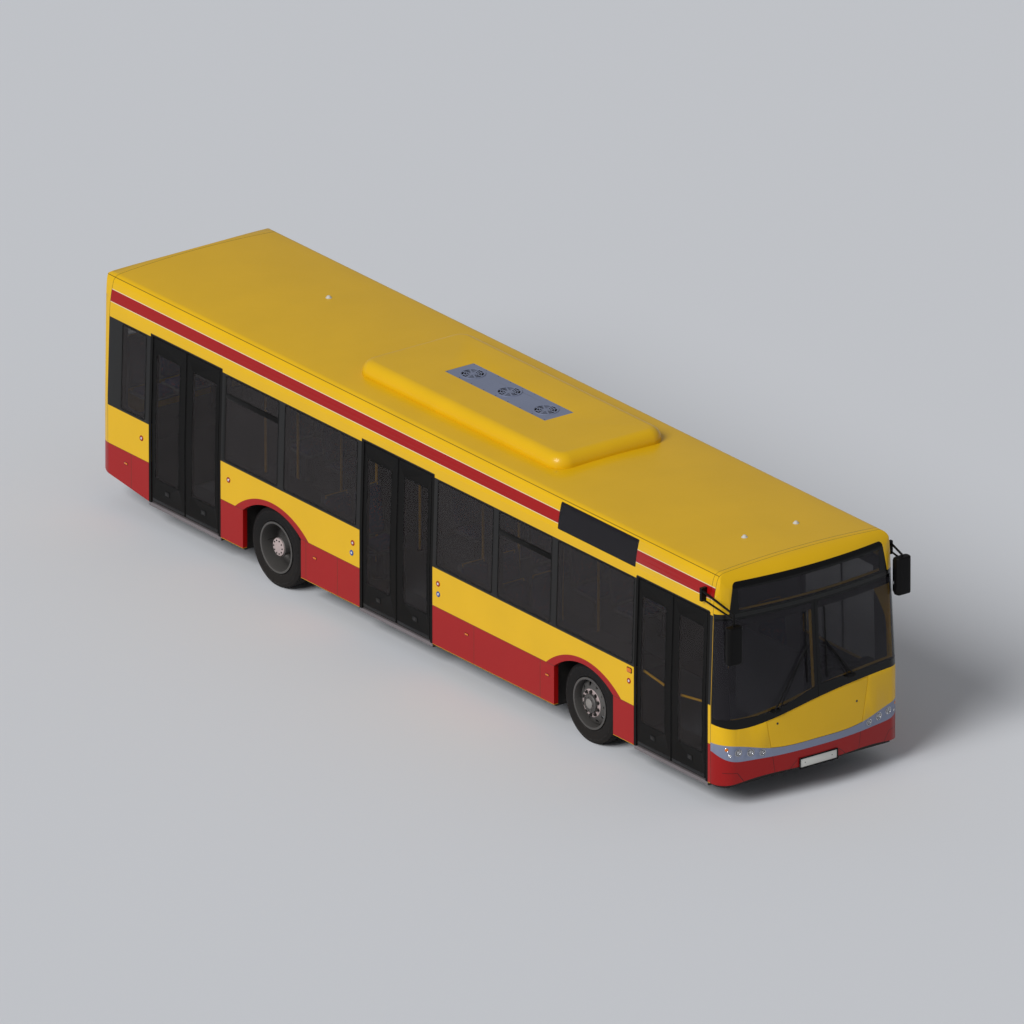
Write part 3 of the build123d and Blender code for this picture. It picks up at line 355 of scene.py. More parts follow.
ring_paint = material("ring_paint", tone(176, 160, 158), Roughness=0.5, Drift=0.15, Film=0.2,
    Grain_scale=500.0, Grain=0.15, Wear=0.3, Wear_colour=tone(90, 70, 60))
nut_steel = material("nut_steel", tone(62, 60, 58), metallic=0.5, Roughness=0.45, Drift=0.2,
    Grain_scale=500.0, Grain=0.1)
hub_cap = material("hub_cap", tone(150, 146, 142), metallic=0.4, Roughness=0.4, Drift=0.1, Grain_scale=500.0,
    Grain=0.1)
hub_grey = material("hub_grey", tone(88, 84, 82), metallic=0.3, Roughness=0.5, Drift=0.12, Grain_scale=500.0,
    Grain=0.15)
chrome = material("chrome", tone(190, 190, 194), metallic=1.0, Roughness=0.16, Drift=0.04, Film=0.0)
reflector = material("reflector", tone(168, 170, 176), metallic=0.9, Roughness=0.22, Drift=0.05, Film=0.0)
pale_lens = material("pale_lens", tone(205, 205, 205), coat=0.5, Roughness=0.2, Drift=0.05, Film=0.0)
amber_lens = material("amber_lens", tone(214, 110, 10), coat=0.5, Roughness=0.22, Drift=0.05, Film=0.0)
red_lens = material("red_lens", tone(150, 10, 12), coat=0.5, Roughness=0.22, Drift=0.05)
plate_white = material("plate_white", tone(205, 205, 200), Roughness=0.4, Drift=0.04, Grain_scale=900.0,
    Grain=0.04)
# near black: the dial faces' own black, and painted shade in the fan openings and behind the hatch louvres
black_and_painted_shade = material("black_and_painted_shade", tone(9, 9, 9), specular=0.08, Roughness=0.6, Drift=0.1)
button_red = material("button_red", tone(150, 22, 18), Roughness=0.4, Drift=0.05)
button_blue = material("button_blue", tone(32, 74, 150), Roughness=0.4, Drift=0.05)
mirror_silver = material("mirror_silver", tone(150, 155, 160), metallic=1.0, Roughness=0.08, Drift=0.03,
    Film=0.0)
cap_white = material("cap_white", tone(200, 198, 190), Roughness=0.5, Drift=0.05, Grain_scale=700.0,
    Grain=0.1)
floor_vinyl = material("floor_vinyl", tone(70, 72, 76), Roughness=0.6, Drift=0.1, Grain_scale=240.0,
    Grain=0.25)


def weave(graph):
    """Moquette: a blue ground with a woven check and small flecks."""
    place = graph.place()
    x, y, z = graph.split(place)
    across = graph.math("SINE", graph.math("MULTIPLY", x, 900.0))
    along_it = graph.math("SINE", graph.math("MULTIPLY", graph.math("ADD", y, z), 900.0))
    thread = graph.ramp(graph.both(across, along_it), -1.0, 1.0, 0.0, 1.0)
    ground = graph.mix(thread, tone(38, 48, 82), tone(56, 68, 108))
    fleck = graph.ramp(graph.noise(place, 60.0, 1.0), 0.62, 0.66)
    return graph.mix(fleck, ground, tone(150, 60, 50))


seat_fabric = material("seat_fabric", weave, specular=0.1, Roughness=0.85, Drift=0.05, Film=0.0,
    Grain_scale=1100.0, Grain=0.6)


def glass(name, colour, solid, rough=0.08, frit=None):
    """Tinted glass: solid says how much of it covers what lies behind; frit masks the black printed edge."""
    made = bpy.data.materials.new(name)
    made.use_nodes = True
    graph = Graph(made.node_tree)
    shader = made.node_tree.nodes["Principled BSDF"]
    shader.inputs["Transmission Weight"].default_value = 0.0
    shader.inputs["IOR"].default_value = 1.3
    shader.inputs["Metallic"].default_value = 0.0
    place = graph.place()
    haze = graph.noise(place, 2.2, 4.0)
    shade = graph.node("ShaderNodeHueSaturation", {"Value": graph.ramp(haze, 0.3, 0.7, 0.92, 1.08),
        "Color": colour}).outputs[0]
    rough_value = graph.math("MULTIPLY_ADD", haze, 0.05, rough)
    cover = graph.ramp(haze, 0.2, 0.8, solid - 0.02, solid + 0.02)
    if frit:
        mask = frit(graph)
        shade = graph.mix(mask, shade, tone(10, 10, 10))
        rough_value = graph.math("MULTIPLY_ADD", mask, 0.12, rough_value)
        cover = graph.either(cover, mask)
    graph.feed(shader.inputs["Base Color"], shade)
    graph.feed(shader.inputs["Roughness"], rough_value)
    graph.feed(shader.inputs["Alpha"], cover)
    return made


def curve_of_x(graph, x, points):
    """Height as a function of the place across the bus."""
    low, high = points[0][0], points[-1][0]
    tops = [z for _, z in points]
    bottom, top = min(tops), max(tops)
    made = graph.node("ShaderNodeFloatCurve", {1: graph.ramp(x, low, high)})
    curve = made.mapping.curves[0]
    for index, (place, height) in enumerate(points):
        spot = ((place - low) / (high - low), (height - bottom) / (top - bottom))
        if index == 0:
            curve.points[0].location = spot
        elif index == len(points) - 1:
            curve.points[-1].location = spot
        else:
            curve.points.new(*spot)
    made.mapping.update()
    return graph.ramp(made.outputs[0], 0.0, 1.0, bottom, top)


clear_foot = [(-1.275, 1.111), (-1.231, 1.097), (-0.729, 1.104), (-0.4, 1.17), (-0.048, 1.277),
    (0.049, 1.295), (0.5, 1.31), (1.231, 1.284), (1.275, 1.28)]


def screen_frit(graph):
    """Printed edge of the windscreen and the surround of the destination window."""
    x, y, z = graph.split(graph.place())
    side = graph.math("ABSOLUTE", x)
    foot = graph.ramp(graph.math("SUBTRACT", z, curve_of_x(graph, x, clear_foot)), -0.002, 0.002, 1.0, 0.0)
    head = graph.between(z, 2.272, 2.364)
    pillar = graph.both(graph.ramp(side, 0.047, 0.044), graph.ramp(z, 2.31, 2.3))
    edge = graph.both(graph.ramp(y, along(-5.705), along(-5.70)), graph.ramp(z, 2.31, 2.3))
    crown = graph.ramp(z, 2.62, 2.624)
    ends = graph.both(graph.ramp(side, 0.99, 0.994), graph.ramp(z, 2.34, 2.345))
    mask = graph.either(graph.either(foot, head), graph.either(pillar, edge))
    mask = graph.either(mask, graph.either(crown, ends))
    return graph.both(mask, graph.ramp(y, along(-5.0), along(-5.01)))


side_glass = glass("side_glass", tone(48, 44, 44), 0.5)
screen_glass = glass("screen_glass", tone(40, 38, 42), 0.5, frit=screen_frit)
door_glass = glass("door_glass", tone(48, 44, 44), 0.3)
rear_glass = glass("rear_glass", tone(44, 40, 40), 0.5)
clear_cover = glass("clear_cover", tone(200, 200, 204), 0.12, 0.04)

finish_of = {"chassis_floor": underframe, "right_wall": paint, "left_wall": paint, "roof_shell": paint,
    "front_mask": paint, "lamp_strip": grey, "front_bumper": bumper, "headlamps": grey,
    "front_glass": screen_glass, "side_windows": side_glass, "rear_wall": paint, "rear_window": rear_glass,
    "rear_lamps": red_lens, "roof_pod": paint, "pod_grille": grey, "mirrors": plastic, "wipers": plastic,
    "seats": cab_grey, "handrails": rail_yellow, "driver_cab": cab_grey, "dashboard": plastic,
    "steering_wheel": plastic, "engine_block": cast, "front_axle": axle_black, "rear_axle": axle_black,
    "air_springs": rubber, "front_flap": paint, "engine_hatch": paint, "left_knuckle": axle_black,
    "right_knuckle": axle_black, "track_rod": axle_black, "wheel_boxes": underframe, "rear_frame": underframe,
    "door_frames": frame_black}
for door in ("front", "middle", "rear"):
    for leaf in ("front", "rear"):
        finish_of[f"{door}_door_{leaf}_leaf"] = frame_black
        finish_of[f"{door}_door_{leaf}_glass"] = door_glass
        finish_of[f"{door}_door_{leaf}_post"] = door_metal
for hand in ("left", "right"):
    finish_of[f"front_{hand}_tyre"] = finish_of[f"rear_{hand}_tyres"] = rubber
    finish_of[f"front_{hand}_rim"] = finish_of[f"rear_{hand}_rims"] = wheel_paint


def piece(name, mesh, finish, body, smooth=35.0):
    """Link a finished mesh as a piece that rides on a body."""
    finishes = finish if isinstance(finish, (list, tuple)) else [finish]
    if mesh.materials:
        mesh.materials.clear()
    for one in finishes:
        mesh.materials.append(one)
    mesh.shade_smooth()
    mesh.set_sharp_from_angle(angle=math.radians(smooth))
    made = bpy.data.objects.new(name, mesh)
    scene.collection.objects.link(made)
    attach(made, body)
    return made


body_of = {}
for body, members in frame["record"]["behaviour"]["bodies"].items():
    for member in members:
        body_of[member] = body


def dress(node, finish, bevel=0.0, smooth=35.0):
    """A merged copy of a CAD node with soft edges, shown in its place."""
    mesh = nodes[node].data.copy()
    shape = bmesh.new()
    shape.from_mesh(mesh)
    bmesh.ops.remove_doubles(shape, verts=shape.verts, dist=1e-5)
    bmesh.ops.dissolve_limit(shape, angle_limit=0.001, verts=shape.verts, edges=shape.edges)
    shape.to_mesh(mesh)
    shape.free()
    made = piece(f"{node}_skin", mesh, finish, body_of[node], smooth)
    if bevel:
        soft = made.modifiers.new("soft_edges", "BEVEL")
        soft.width = bevel
        soft.segments = 2
        soft.limit_method = "ANGLE"
        soft.angle_limit = math.radians(40)
        soft.harden_normals = True
    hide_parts(node)
    return made


for node, finish in finish_of.items():
    nodes[node].data.materials.clear()
    nodes[node].data.materials.append(finish)

# ------------------------------------------------------------------ shapes
def at(x, y, z):
    """Matrix of a shift."""
    return Matrix.Translation((x, y, z))


def soften(part, geom, offset, segments=2, affect="EDGES"):
    """Round off edges or corners."""
    bmesh.ops.bevel(part, geom=geom, offset=offset, offset_type="OFFSET", segments=segments, profile=0.5,
        affect=affect, clamp_overlap=True, material=-1)


def cut(part, place, way):
    """Add edges where a plane crosses a part."""
    bmesh.ops.bisect_plane(part, geom=part.verts[:] + part.edges[:] + part.faces[:], dist=1e-6,
        plane_co=place, plane_no=way)


def thicken(part, thickness, bevel):
    """Give a flat outline its thickness upwards and soften its upper edges."""
    grown = bmesh.ops.extrude_face_region(part, geom=list(part.faces))
    tops = [item for item in grown["geom"] if isinstance(item, bmesh.types.BMVert)]
    bmesh.ops.translate(part, vec=(0, 0, thickness), verts=tops)
    bmesh.ops.recalc_face_normals(part, faces=part.faces)
    if bevel:
        rims = [edge for edge in part.edges if edge.calc_face_angle(0) > 0.5
                and all(abs(corner.co.z - thickness) < 1e-7 for corner in edge.verts)]
        soften(part, rims, bevel)
    return part


def outline(width, height, corner, segments=6):
    """A flat face with round corners."""
    part = bmesh.new()
    bmesh.ops.create_grid(part, x_segments=1, y_segments=1, size=0.5)
    bmesh.ops.scale(part, vec=(width, height, 1), verts=part.verts)
    soften(part, list(part.verts), corner, segments, affect="VERTICES")
    return part


def panel(width, height, thickness, corner, bevel=0.001):
    """A plate with round corners, its back on Z 0."""
    return thicken(outline(width, height, corner), thickness, bevel)


def surround(width, height, border, thickness, corner, bevel=0.001):
    """A rim with round corners, open in the middle, its back on Z 0."""
    part = outline(width, height, corner)
    rim = bmesh.ops.inset_individual(part, faces=list(part.faces), thickness=border,
        use_even_offset=True)["faces"]
    kept = set(rim)
    bmesh.ops.delete(part, geom=[face for face in part.faces if face not in kept], context="FACES")
    return thicken(part, thickness, bevel)


def slab(x, y, z, bevel=0.002, segments=2):
    """A block about the origin with soft edges."""
    part = bmesh.new()
    bmesh.ops.create_cube(part, size=1)
    bmesh.ops.scale(part, vec=(x, y, z), verts=part.verts)
    soften(part, list(part.edges), bevel, segments)
    return part


def turned(points, steps=48, closed=True):
    """A turned part: an outline of (radius, height) spun about Z."""
    part = bmesh.new()
    corners = [part.verts.new((radius, 0, height)) for radius, height in points]
    edges = [part.edges.new(pair) for pair in zip(corners, corners[1:])]
    if closed:
        edges.append(part.edges.new((corners[-1], corners[0])))
    bmesh.ops.spin(part, geom=corners + edges, cent=(0, 0, 0), axis=(0, 0, 1), angle=math.tau, steps=steps,
        use_merge=True)
    bmesh.ops.remove_doubles(part, verts=part.verts, dist=1e-6)
    bmesh.ops.dissolve_degenerate(part, dist=1e-7, edges=part.edges)
    bmesh.ops.recalc_face_normals(part, faces=part.faces)
    return part


def dish(points, steps=48):
    """A turned part whose outline stays open, such as a cap or a lens."""
    return turned(points, steps, closed=False)


def nut(across, height):
    """A hexagon nut with a washer and the end of its stud, standing on Z 0."""
    part = dish([(0, 0), (across * 0.66, 0), (across * 0.66, height * 0.12), (across * 0.6, height * 0.16),
        (0, height * 0.16)], 20)
    hexagon = bmesh.ops.create_cone(part, cap_ends=True, segments=6, radius1=across / 2, radius2=across / 2,
        depth=height * 0.74)["verts"]
    bmesh.ops.translate(part, vec=(0, 0, height * 0.53), verts=hexagon)
    rims = list({edge for corner in hexagon for edge in corner.link_edges})
    soften(part, rims, across * 0.06)
    stud = bmesh.ops.create_cone(part, cap_ends=True, segments=16, radius1=across * 0.25,
        radius2=across * 0.22, depth=height * 0.4)["verts"]
    bmesh.ops.translate(part, vec=(0, 0, height * 0.85), verts=stud)
    return part


def rod(points, radius, cyclic=False, resolution=4):
    """A round bar or bead through points, as a mesh in a bmesh."""
    data = bpy.data.curves.new("rod", "CURVE")
    data.dimensions = "3D"
    data.bevel_depth = radius
    data.bevel_resolution = resolution
    data.use_fill_caps = True
    line = data.splines.new("POLY")
    line.points.add(len(points) - 1)
    for spot, point in zip(line.points, points):
        spot.co = (*point, 1)
    line.use_cyclic_u = cyclic
    holder = bpy.data.objects.new("rod", data)
    mesh = bpy.data.meshes.new_from_object(holder)
    part = bmesh.new()
    part.from_mesh(mesh)
    bmesh.ops.remove_doubles(part, verts=part.verts, dist=1e-6)
    bpy.data.objects.remove(holder)
    bpy.data.curves.remove(data)
    bpy.data.meshes.remove(mesh)
    return part


def facing(place, outward, up=(0, 0, 1)):
    """Matrix that stands a part on a surface: its Z outward, its Y about up."""
    out = Vector(outward).normalized()
    side = Vector(up).cross(out).normalized()
    turn = Matrix((side, out.cross(side), out)).transposed().to_4x4()
    return Matrix.Translation(place) @ turn


class Stock:
    """A piece in the making: parts are shaped at the origin, then put in their places."""

    def __init__(self):
        self.shape = bmesh.new()

    def put(self, part, place=None, finish=0, keep=False):
        for face in part.faces:
            face.material_index = finish
        mesh = bpy.data.meshes.new("part")
        part.to_mesh(mesh)
        if place is not None:
            mesh.transform(place)
        self.shape.from_mesh(mesh)
        bpy.data.meshes.remove(mesh)
        if not keep:
            part.free()

    def done(self, name, finish, body, slot, smooth=35.0, stands_for=()):
        mesh = bpy.data.meshes.new(name)
        self.shape.to_mesh(mesh)
        self.shape.free()
        made = piece(name, mesh, finish, body, smooth)
        if stands_for:
            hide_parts(*stands_for)
        return made


def node_tree(name):
    """Search tree over a CAD node's faces, in world places."""
    mesh = nodes[name].data
    places = [nodes[name].matrix_world @ corner.co for corner in mesh.vertices]
    return BVHTree.FromPolygons(places, [tuple(face.vertices) for face in mesh.polygons])


trees = {name: node_tree(name) for name in nodes}


def first_hit(node, start, way):
    """The first point of a CAD node from a place along a way, and its outward direction."""
    place, outward, _, _ = trees[node].ray_cast(Vector(start), Vector(way))
    if place is None:
        return Vector(start), Vector((0, 0, 0))
    return place, outward if outward.dot(Vector(way)) < 0 else -outward


def end_spot(node, x, z, end=-1):
    """Place on the front (-1) or rear (1) of a CAD node and its outward direction."""
    return first_hit(node, (x, end * 8.0, z), (0, -end, 0))


def roof_spot(node, x, y):
    """Place on top of a CAD node and its outward direction."""
    return first_hit(node, (x, along(y), 4.0), (0, 0, -1))


# ------------------------------------------------------------------ body panels: black behind glass, grey inside
floor_level = 0.30
panel_ways = {"front_mask": (0, -1, 0), "rear_wall": (0, 1, 0), "right_wall": (-1, 0, 0),
    "left_wall": (1, 0, 0), "roof_shell": (0, 0, 1)}


def finish_panel(shown, outward):
    """Black where a face of a body panel lies close behind a pane, and lining grey where it faces inwards."""
    shown.data.materials.append(frame_black)
    shown.data.materials.append(cab_grey)
    panes = [trees[name] for name in ("front_glass", "side_windows", "rear_window")]
    reach = 0.05
    for face in shown.data.polygons:
        start = face.center + face.normal * 0.0002
        if any(tree.ray_cast(start, face.normal, reach)[0] for tree in panes):
            face.material_index = 1
        elif face.normal.dot(Vector(outward)) < -0.3 and face.center.z > floor_level:
            face.material_index = 2


# ------------------------------------------------------------------ CAD nodes with soft edges
soft_nodes = {"right_wall": 0.0015, "left_wall": 0.0015, "roof_shell": 0.002, "front_mask": 0.002,
    "front_bumper": 0.003, "lamp_strip": 0.002, "rear_wall": 0.002, "roof_pod": 0.002, "front_flap": 0.0015,
    "engine_hatch": 0.002, "mirrors": 0.002, "wipers": 0.001, "door_frames": 0.0015, "driver_cab": 0.004,
    "dashboard": 0.012, "steering_wheel": 0.003, "front_axle": 0.004, "rear_axle": 0.004,
    "engine_block": 0.01, "left_knuckle": 0.003, "right_knuckle": 0.003, "track_rod": 0.001,
    "rear_frame": 0.004, "wheel_boxes": 0.004, "pod_grille": 0.001}
for node in nodes:
    if node.endswith("_leaf"):
        soft_nodes[node] = 0.002
    if node.endswith("_rim") or node.endswith("_rims"):
        soft_nodes[node] = 0.0025
for node, width in soft_nodes.items():
    dressed = dress(node, finish_of[node], width)
    if node in panel_ways:
        finish_panel(dressed, panel_ways[node])

# ------------------------------------------------------------------ tyres and wheels
tyre_radius, tyre_width, bead_radius = 0.475, 0.275, 0.292
front_face, rear_face, twin_pitch = 1.200, 1.225, 0.330
wheel_height = 0.475
front_axle, rear_axle = along(-3.3), along(2.6)
sidewall = [(0.312, 0), (0.318, 0), (0.320, 0.0015), (0.326, 0.0015), (0.328, 0), (0.345, 0), (0.3885, 0),
    (0.405, 0), (0.418, 0), (0.4195, 0.0012), (0.4225, 0.0012), (0.424, 0), (0.430, 0), (0.4315, 0.0012),
    (0.4345, 0.0012), (0.436, 0), (0.450, 0), (0.465, 0)]
tread_grooves = (0.067, 0.112)
groove_half, groove_depth, tread_steps = 0.0045, 0.012, 192


def tyre_part():
    """Truck tyre: rings on the sidewall, four grooves round it and slots across the shoulders."""
    half = [(bead_radius, 0.030), (0.300, 0.0262)]
    half += [(r, 0.024 * ((r - 0.3885) / 0.0765) ** 2 - proud) for r, proud in sidewall]
    half += [(0.4695, 0.027), (0.4735, 0.034), (tyre_radius, 0.044)]
    for middle in tread_grooves:
        low = tyre_radius - groove_depth
        half += [(tyre_radius, middle - groove_half), (low, middle - groove_half + 0.002),
            (low, middle + groove_half - 0.002), (tyre_radius, middle + groove_half)]
    other = [(r, tyre_width - depth) for r, depth in reversed(half)]
    part = turned(half + other, tread_steps)
    slots = []
    for face in part.faces:
        spot = face.calc_center_median()
        step = int(round(math.atan2(spot.y, spot.x) / math.tau * tread_steps * 2)) // 2
        on_tread = math.hypot(spot.x, spot.y) > tyre_radius - 0.001
        shoulder = min(spot.z, tyre_width - spot.z) < tread_grooves[0] - groove_half
        if on_tread and shoulder and step % 3 == 0:
            slots.append(face)
    bmesh.ops.inset_individual(part, faces=slots, thickness=0.003, depth=-0.008, use_even_offset=True)
    return part


def wheel_place(side, face, axle):
    """Matrix of a wheel: Z runs inwards from the tyre's outer face."""
    return facing((side * face, axle, wheel_height), (-side, 0, 0))


def circle_of(count, radius, depth, start=0.0):
    """Places evenly round the wheel's own axis, each facing outwards along -Z."""
    spots = []
    for index in range(count):
        angle = math.tau * (index + start) / count
        spot = at(radius * math.cos(angle), radius * math.sin(angle), depth)
        spots.append(spot @ Matrix.Rotation(math.pi, 4, "X"))
    return spots


tyre_shape = tyre_part()
for side, hand in ((-1, "right"), (1, "left")):
    front_place, rear_place = wheel_place(side, front_face, front_axle), wheel_place(side, rear_face, rear_axle)
    inner_place = wheel_place(side, rear_face - twin_pitch, rear_axle)
    stock = Stock()
    stock.put(tyre_shape, front_place, keep=True)
    stock.done(f"front_{hand}_tyre_tread", tyre_rubber, f"front_{hand}_wheel", "tyre", 30,
        [f"front_{hand}_tyre"])
    stock = Stock()
    stock.put(tyre_shape, rear_place, keep=True)
    stock.put(tyre_shape, inner_place, keep=True)
    stock.done(f"rear_{hand}_tyre_treads", tyre_rubber, f"rear_{hand}_wheels", "tyre", 30,
        [f"rear_{hand}_tyres"])

    stock = Stock()
    stock.put(turned([(0.1135, 0.0405), (0.1135, 0.0375), (0.116, 0.036), (0.160, 0.036), (0.164, 0.038),
        (0.166, 0.0405)], 64), front_place, finish=0)
    for spot in circle_of(10, 0.139, 0.0365, 0.5):
        stock.put(nut(0.034, 0.030), front_place @ spot, finish=1)
    stock.put(turned([(0, 0.001), (0, -0.013), (0.028, -0.0115), (0.048, -0.007), (0.058, -0.001),
        (0.0585, 0.001)], 48), front_place, finish=2)
    stock.put(turned([(0.070, 0.001), (0.070, -0.003), (0.0725, -0.0045), (0.088, -0.0045), (0.0905, -0.003),
        (0.0905, 0.001)], 48), front_place, finish=3)
    for spot in circle_of(8, 0.0795, -0.0045):
        stock.put(nut(0.011, 0.007), front_place @ spot, finish=1)
    stock.put(rod([(0.236, 0, 0.074), (0.232, 0, 0.058), (0.225, 0, 0.045)], 0.0045), front_place, finish=1)
    stock.done(f"front_{hand}_hub_trim", [ring_paint, nut_steel, hub_cap, hub_grey], f"front_{hand}_wheel",
        "wheel_steel")

    stock = Stock()
    stock.put(dish([(0, 0.047), (0, 0.033), (0.040, 0.034), (0.044, 0.037), (0.096, 0.038), (0.1035, 0.042),
        (0.1045, 0.047), (0.1045, 0.060), (0.112, 0.060)], 64), rear_place, finish=0)
    for spot in circle_of(10, 0.080, 0.0378):
        stock.put(nut(0.015, 0.010), rear_place @ spot, finish=1)
    for spot in circle_of(10, 0.142, 0.2885, 0.5):
        stock.put(nut(0.034, 0.030), rear_place @ spot, finish=1)
    stock.put(rod([(0.262, 0, 0.240), (0.255, 0, 0.15), (0.248, 0, 0.07)], 0.0045), rear_place, finish=1)
    stock.done(f"rear_{hand}_hub_trim", [ring_paint, nut_steel], f"rear_{hand}_wheels", "wheel_steel")
tyre_shape.free()

# ------------------------------------------------------------------ head lamps, small lamps, plate
lamps = {1.058: (0.692, 0.046), 0.904: (0.668, 0.048), 0.752: (0.640, 0.042)}
bezels, bowls, covers = Stock(), Stock(), Stock()
for lamp_x, (lamp_z, lamp_radius) in lamps.items():
    for side in (-1, 1):
        place, outward = end_spot("headlamps", side * lamp_x, lamp_z)
        seat = facing(place + outward * 0.002, outward)
        r = lamp_radius
        bezels.put(turned([(r - 0.0005, -0.006), (r - 0.0005, 0.001), (r - 0.003, 0.0032), (r - 0.007, 0.003),
            (r - 0.0095, 0.0005), (r - 0.010, -0.006)], 48), seat)
        bowls.put(dish([(r - 0.010, -0.001), (r * 0.72, -0.010), (r * 0.5, -0.017), (r * 0.34, -0.021),
            (0.0, -0.022)], 48), seat, finish=0)
        bowls.put(dish([(0.0, -0.006), (r * 0.16, -0.0072), (r * 0.28, -0.011), (r * 0.32, -0.016),
            (r * 0.33, -0.021)], 32), seat, finish=1)
        bowls.put(dish([(r * 0.33, -0.021), (r * 0.36, -0.014), (r * 0.40, -0.013), (r * 0.43, -0.0175)], 32),
            seat, finish=2)
        covers.put(dish([(r - 0.0095, -0.0005), (r * 0.6, 0.0022), (r * 0.3, 0.0034), (0, 0.0038),
            (0, 0.0018), (r * 0.3, 0.0014), (r * 0.6, 0.0004), (r - 0.0095, -0.0022)], 48), seat)
bezels.done("headlamp_bezels", chrome, "body", "lamp_lens")
bowls.done("headlamp_bowls", [reflector, pale_lens, chrome], "body", "lamp_lens", 60)
covers.done("headlamp_covers", clear_cover, "body", "lamp_lens", 60, ["headlamps"])

stock = Stock()
for side in (-1, 1):
    for lamp_x, lamp_z, finish, r in ((1.188, 0.742, 1, 0.020), (1.158, 0.667, 2, 0.015)):
        place, outward = end_spot("lamp_strip", side * lamp_x, lamp_z)
        seat = facing(place, outward)
        stock.put(dish([(0, -0.002), (r + 0.004, -0.002), (r + 0.004, 0.001), (r + 0.002, 0.0025), (r, 0.001),
            (0, 0.001)], 32), seat, finish=0)
        stock.put(dish([(r, 0.0012), (r * 0.8, 0.0042), (r * 0.4, 0.0058), (0, 0.0062)], 32), seat,
            finish=finish)
stock.done("front_small_lamps", [chrome, amber_lens, pale_lens], "body", "lamp_lens")

plate_wide, plate_tall = 0.52, 0.112
plate_seats = {"front": ((0, mask_low.y - 0.002, 0.399), (0, -1, 0)), "rear": end_spot("engine_hatch", 0.0,
    0.78, 1)}
for name, (place, outward) in plate_seats.items():
    seat = facing(place, outward)
    stock = Stock()
    stock.put(surround(plate_wide + 0.024, plate_tall + 0.020, 0.016, 0.0075, 0.008), seat, finish=0)
    stock.put(panel(plate_wide, plate_tall, 0.003, 0.006, 0.0006), seat, finish=1)
    stock.put(slab(plate_wide - 0.02, plate_tall - 0.01, 0.012, 0.001), seat @ at(0, 0, -0.006), finish=0)
    for across in (-0.19, 0.19):
        stock.put(dish([(0, 0.005), (0.004, 0.0046), (0.0065, 0.003), (0.0065, 0.002)], 20),
            seat @ at(across, 0, 0), finish=2)
    stock.done(f"{name}_plate", [seal_rubber, plate_white, nut_steel], "body" if name == "front" else "hatch",
        "black_plastic")

# ------------------------------------------------------------------ shapes that follow the body
belt_height, side_lean = 1.245, 0.035 / 1.1


def bend_to_side(shape):
    """Follow the knee of the side: everything above the belt leans inwards."""
    cut(shape, (0, 0, belt_height), (0, 0, 1))
    for corner in shape.verts:
        rise = max(0.0, corner.co.z - belt_height)
        corner.co.x -= math.copysign(rise * side_lean, corner.co.x)


def drape(part, height, end, names, cuts=24):
    """Lay a flat part on the front (-1) or rear (1): its X runs across the bus, its Y up from a height."""
    low = min(corner.co.x for corner in part.verts)
    high = max(corner.co.x for corner in part.verts)
    for index in range(1, cuts):
        cut(part, (low + (high - low) * index / cuts, 0, 0), (1, 0, 0))
    cut(part, (0, belt_height - height, 0), (0, 1, 0))
    for corner in part.verts:
        found = [end_spot(name, -end * corner.co.x, height + corner.co.y, end) for name in names]
        found = [(place, outward) for place, outward in found if outward.length > 0.5]
        place, outward = max(found, key=lambda pair: end * pair[0].y)
        corner.co = place + outward * corner.co.z
    return part


# ------------------------------------------------------------------ windows
sill, head = 1.272, 2.306
right_windows = [(5.035, 5.5), (2.5, 3.51), (1.0, 2.385), (-1.57, -0.52), (-2.67, -1.67), (-4.21, -2.78)]
left_windows = [(3.65, 4.95), (2.5, 3.51), (1.0, 2.385), (-0.43, 0.89), (-1.57, -0.54), (-2.67, -1.67),
    (-3.96, -2.78)]
hopper_starts = (2.5, -2.67)
hopper_low, hopper_high = 2.03, 2.10
for side, hand, windows in ((-1, "right", right_windows), (1, "left", left_windows)):
    seals, bars = Stock(), Stock()
    openings = [(start, end, sill, head) for start, end in windows]
    if side > 0:
        openings.append((-5.48, -4.08, 1.010, head))
    for start, end, low, high in openings:
        seat = facing((side * half_width, along((start + end) / 2), (low + high) / 2), (side, 0, 0))
        seals.put(surround(end - start + 0.006, high - low + 0.006, 0.013, 0.0025, 0.033), seat)
        if start in hopper_starts:
            middle = (hopper_low + hopper_high) / 2
            seat = facing((side * (half_width - 0.001), along((start + end) / 2), middle), (side, 0, 0))
            bars.put(slab(end - start - 0.02, hopper_high - hopper_low, 0.008, 0.002), seat)
            bars.put(slab(end - start - 0.03, 0.004, 0.012, 0.001), seat @ at(0, 0.012, 0), finish=1)
            for across in (-0.28, 0.28):
                catch = facing((side * (half_width - 0.018), along((start + end) / 2 + across),
                    middle + 0.06), (-side, 0, 0))
                bars.put(panel(0.10, 0.035, 0.014, 0.010, 0.003), catch)
    bend_to_side(seals.shape)
    bend_to_side(bars.shape)
    seals.done(f"{hand}_window_seals", seal_rubber, "body", "tinted_glass")
    bars.done(f"{hand}_hopper_bars", [frame_black, seal_rubber], "body", "tinted_glass")

# the driver's window slides: a bar down its middle
stock = Stock()
seat = facing((half_width - 0.001, along(-4.78), 1.66), (1, 0, 0))
stock.put(slab(0.035, 1.27, 0.008, 0.002), seat)
bend_to_side(stock.shape)
stock.done("driver_window_bar", frame_black, "body", "tinted_glass")

# the seal round the rear window
stock = Stock()
stock.put(drape(surround(1.972, 0.682, 0.016, 0.003, 0.062), 1.895, 1, ["rear_wall", "rear_window"], 36))
stock.done("rear_window_seal", seal_rubber, "body", "tinted_glass")

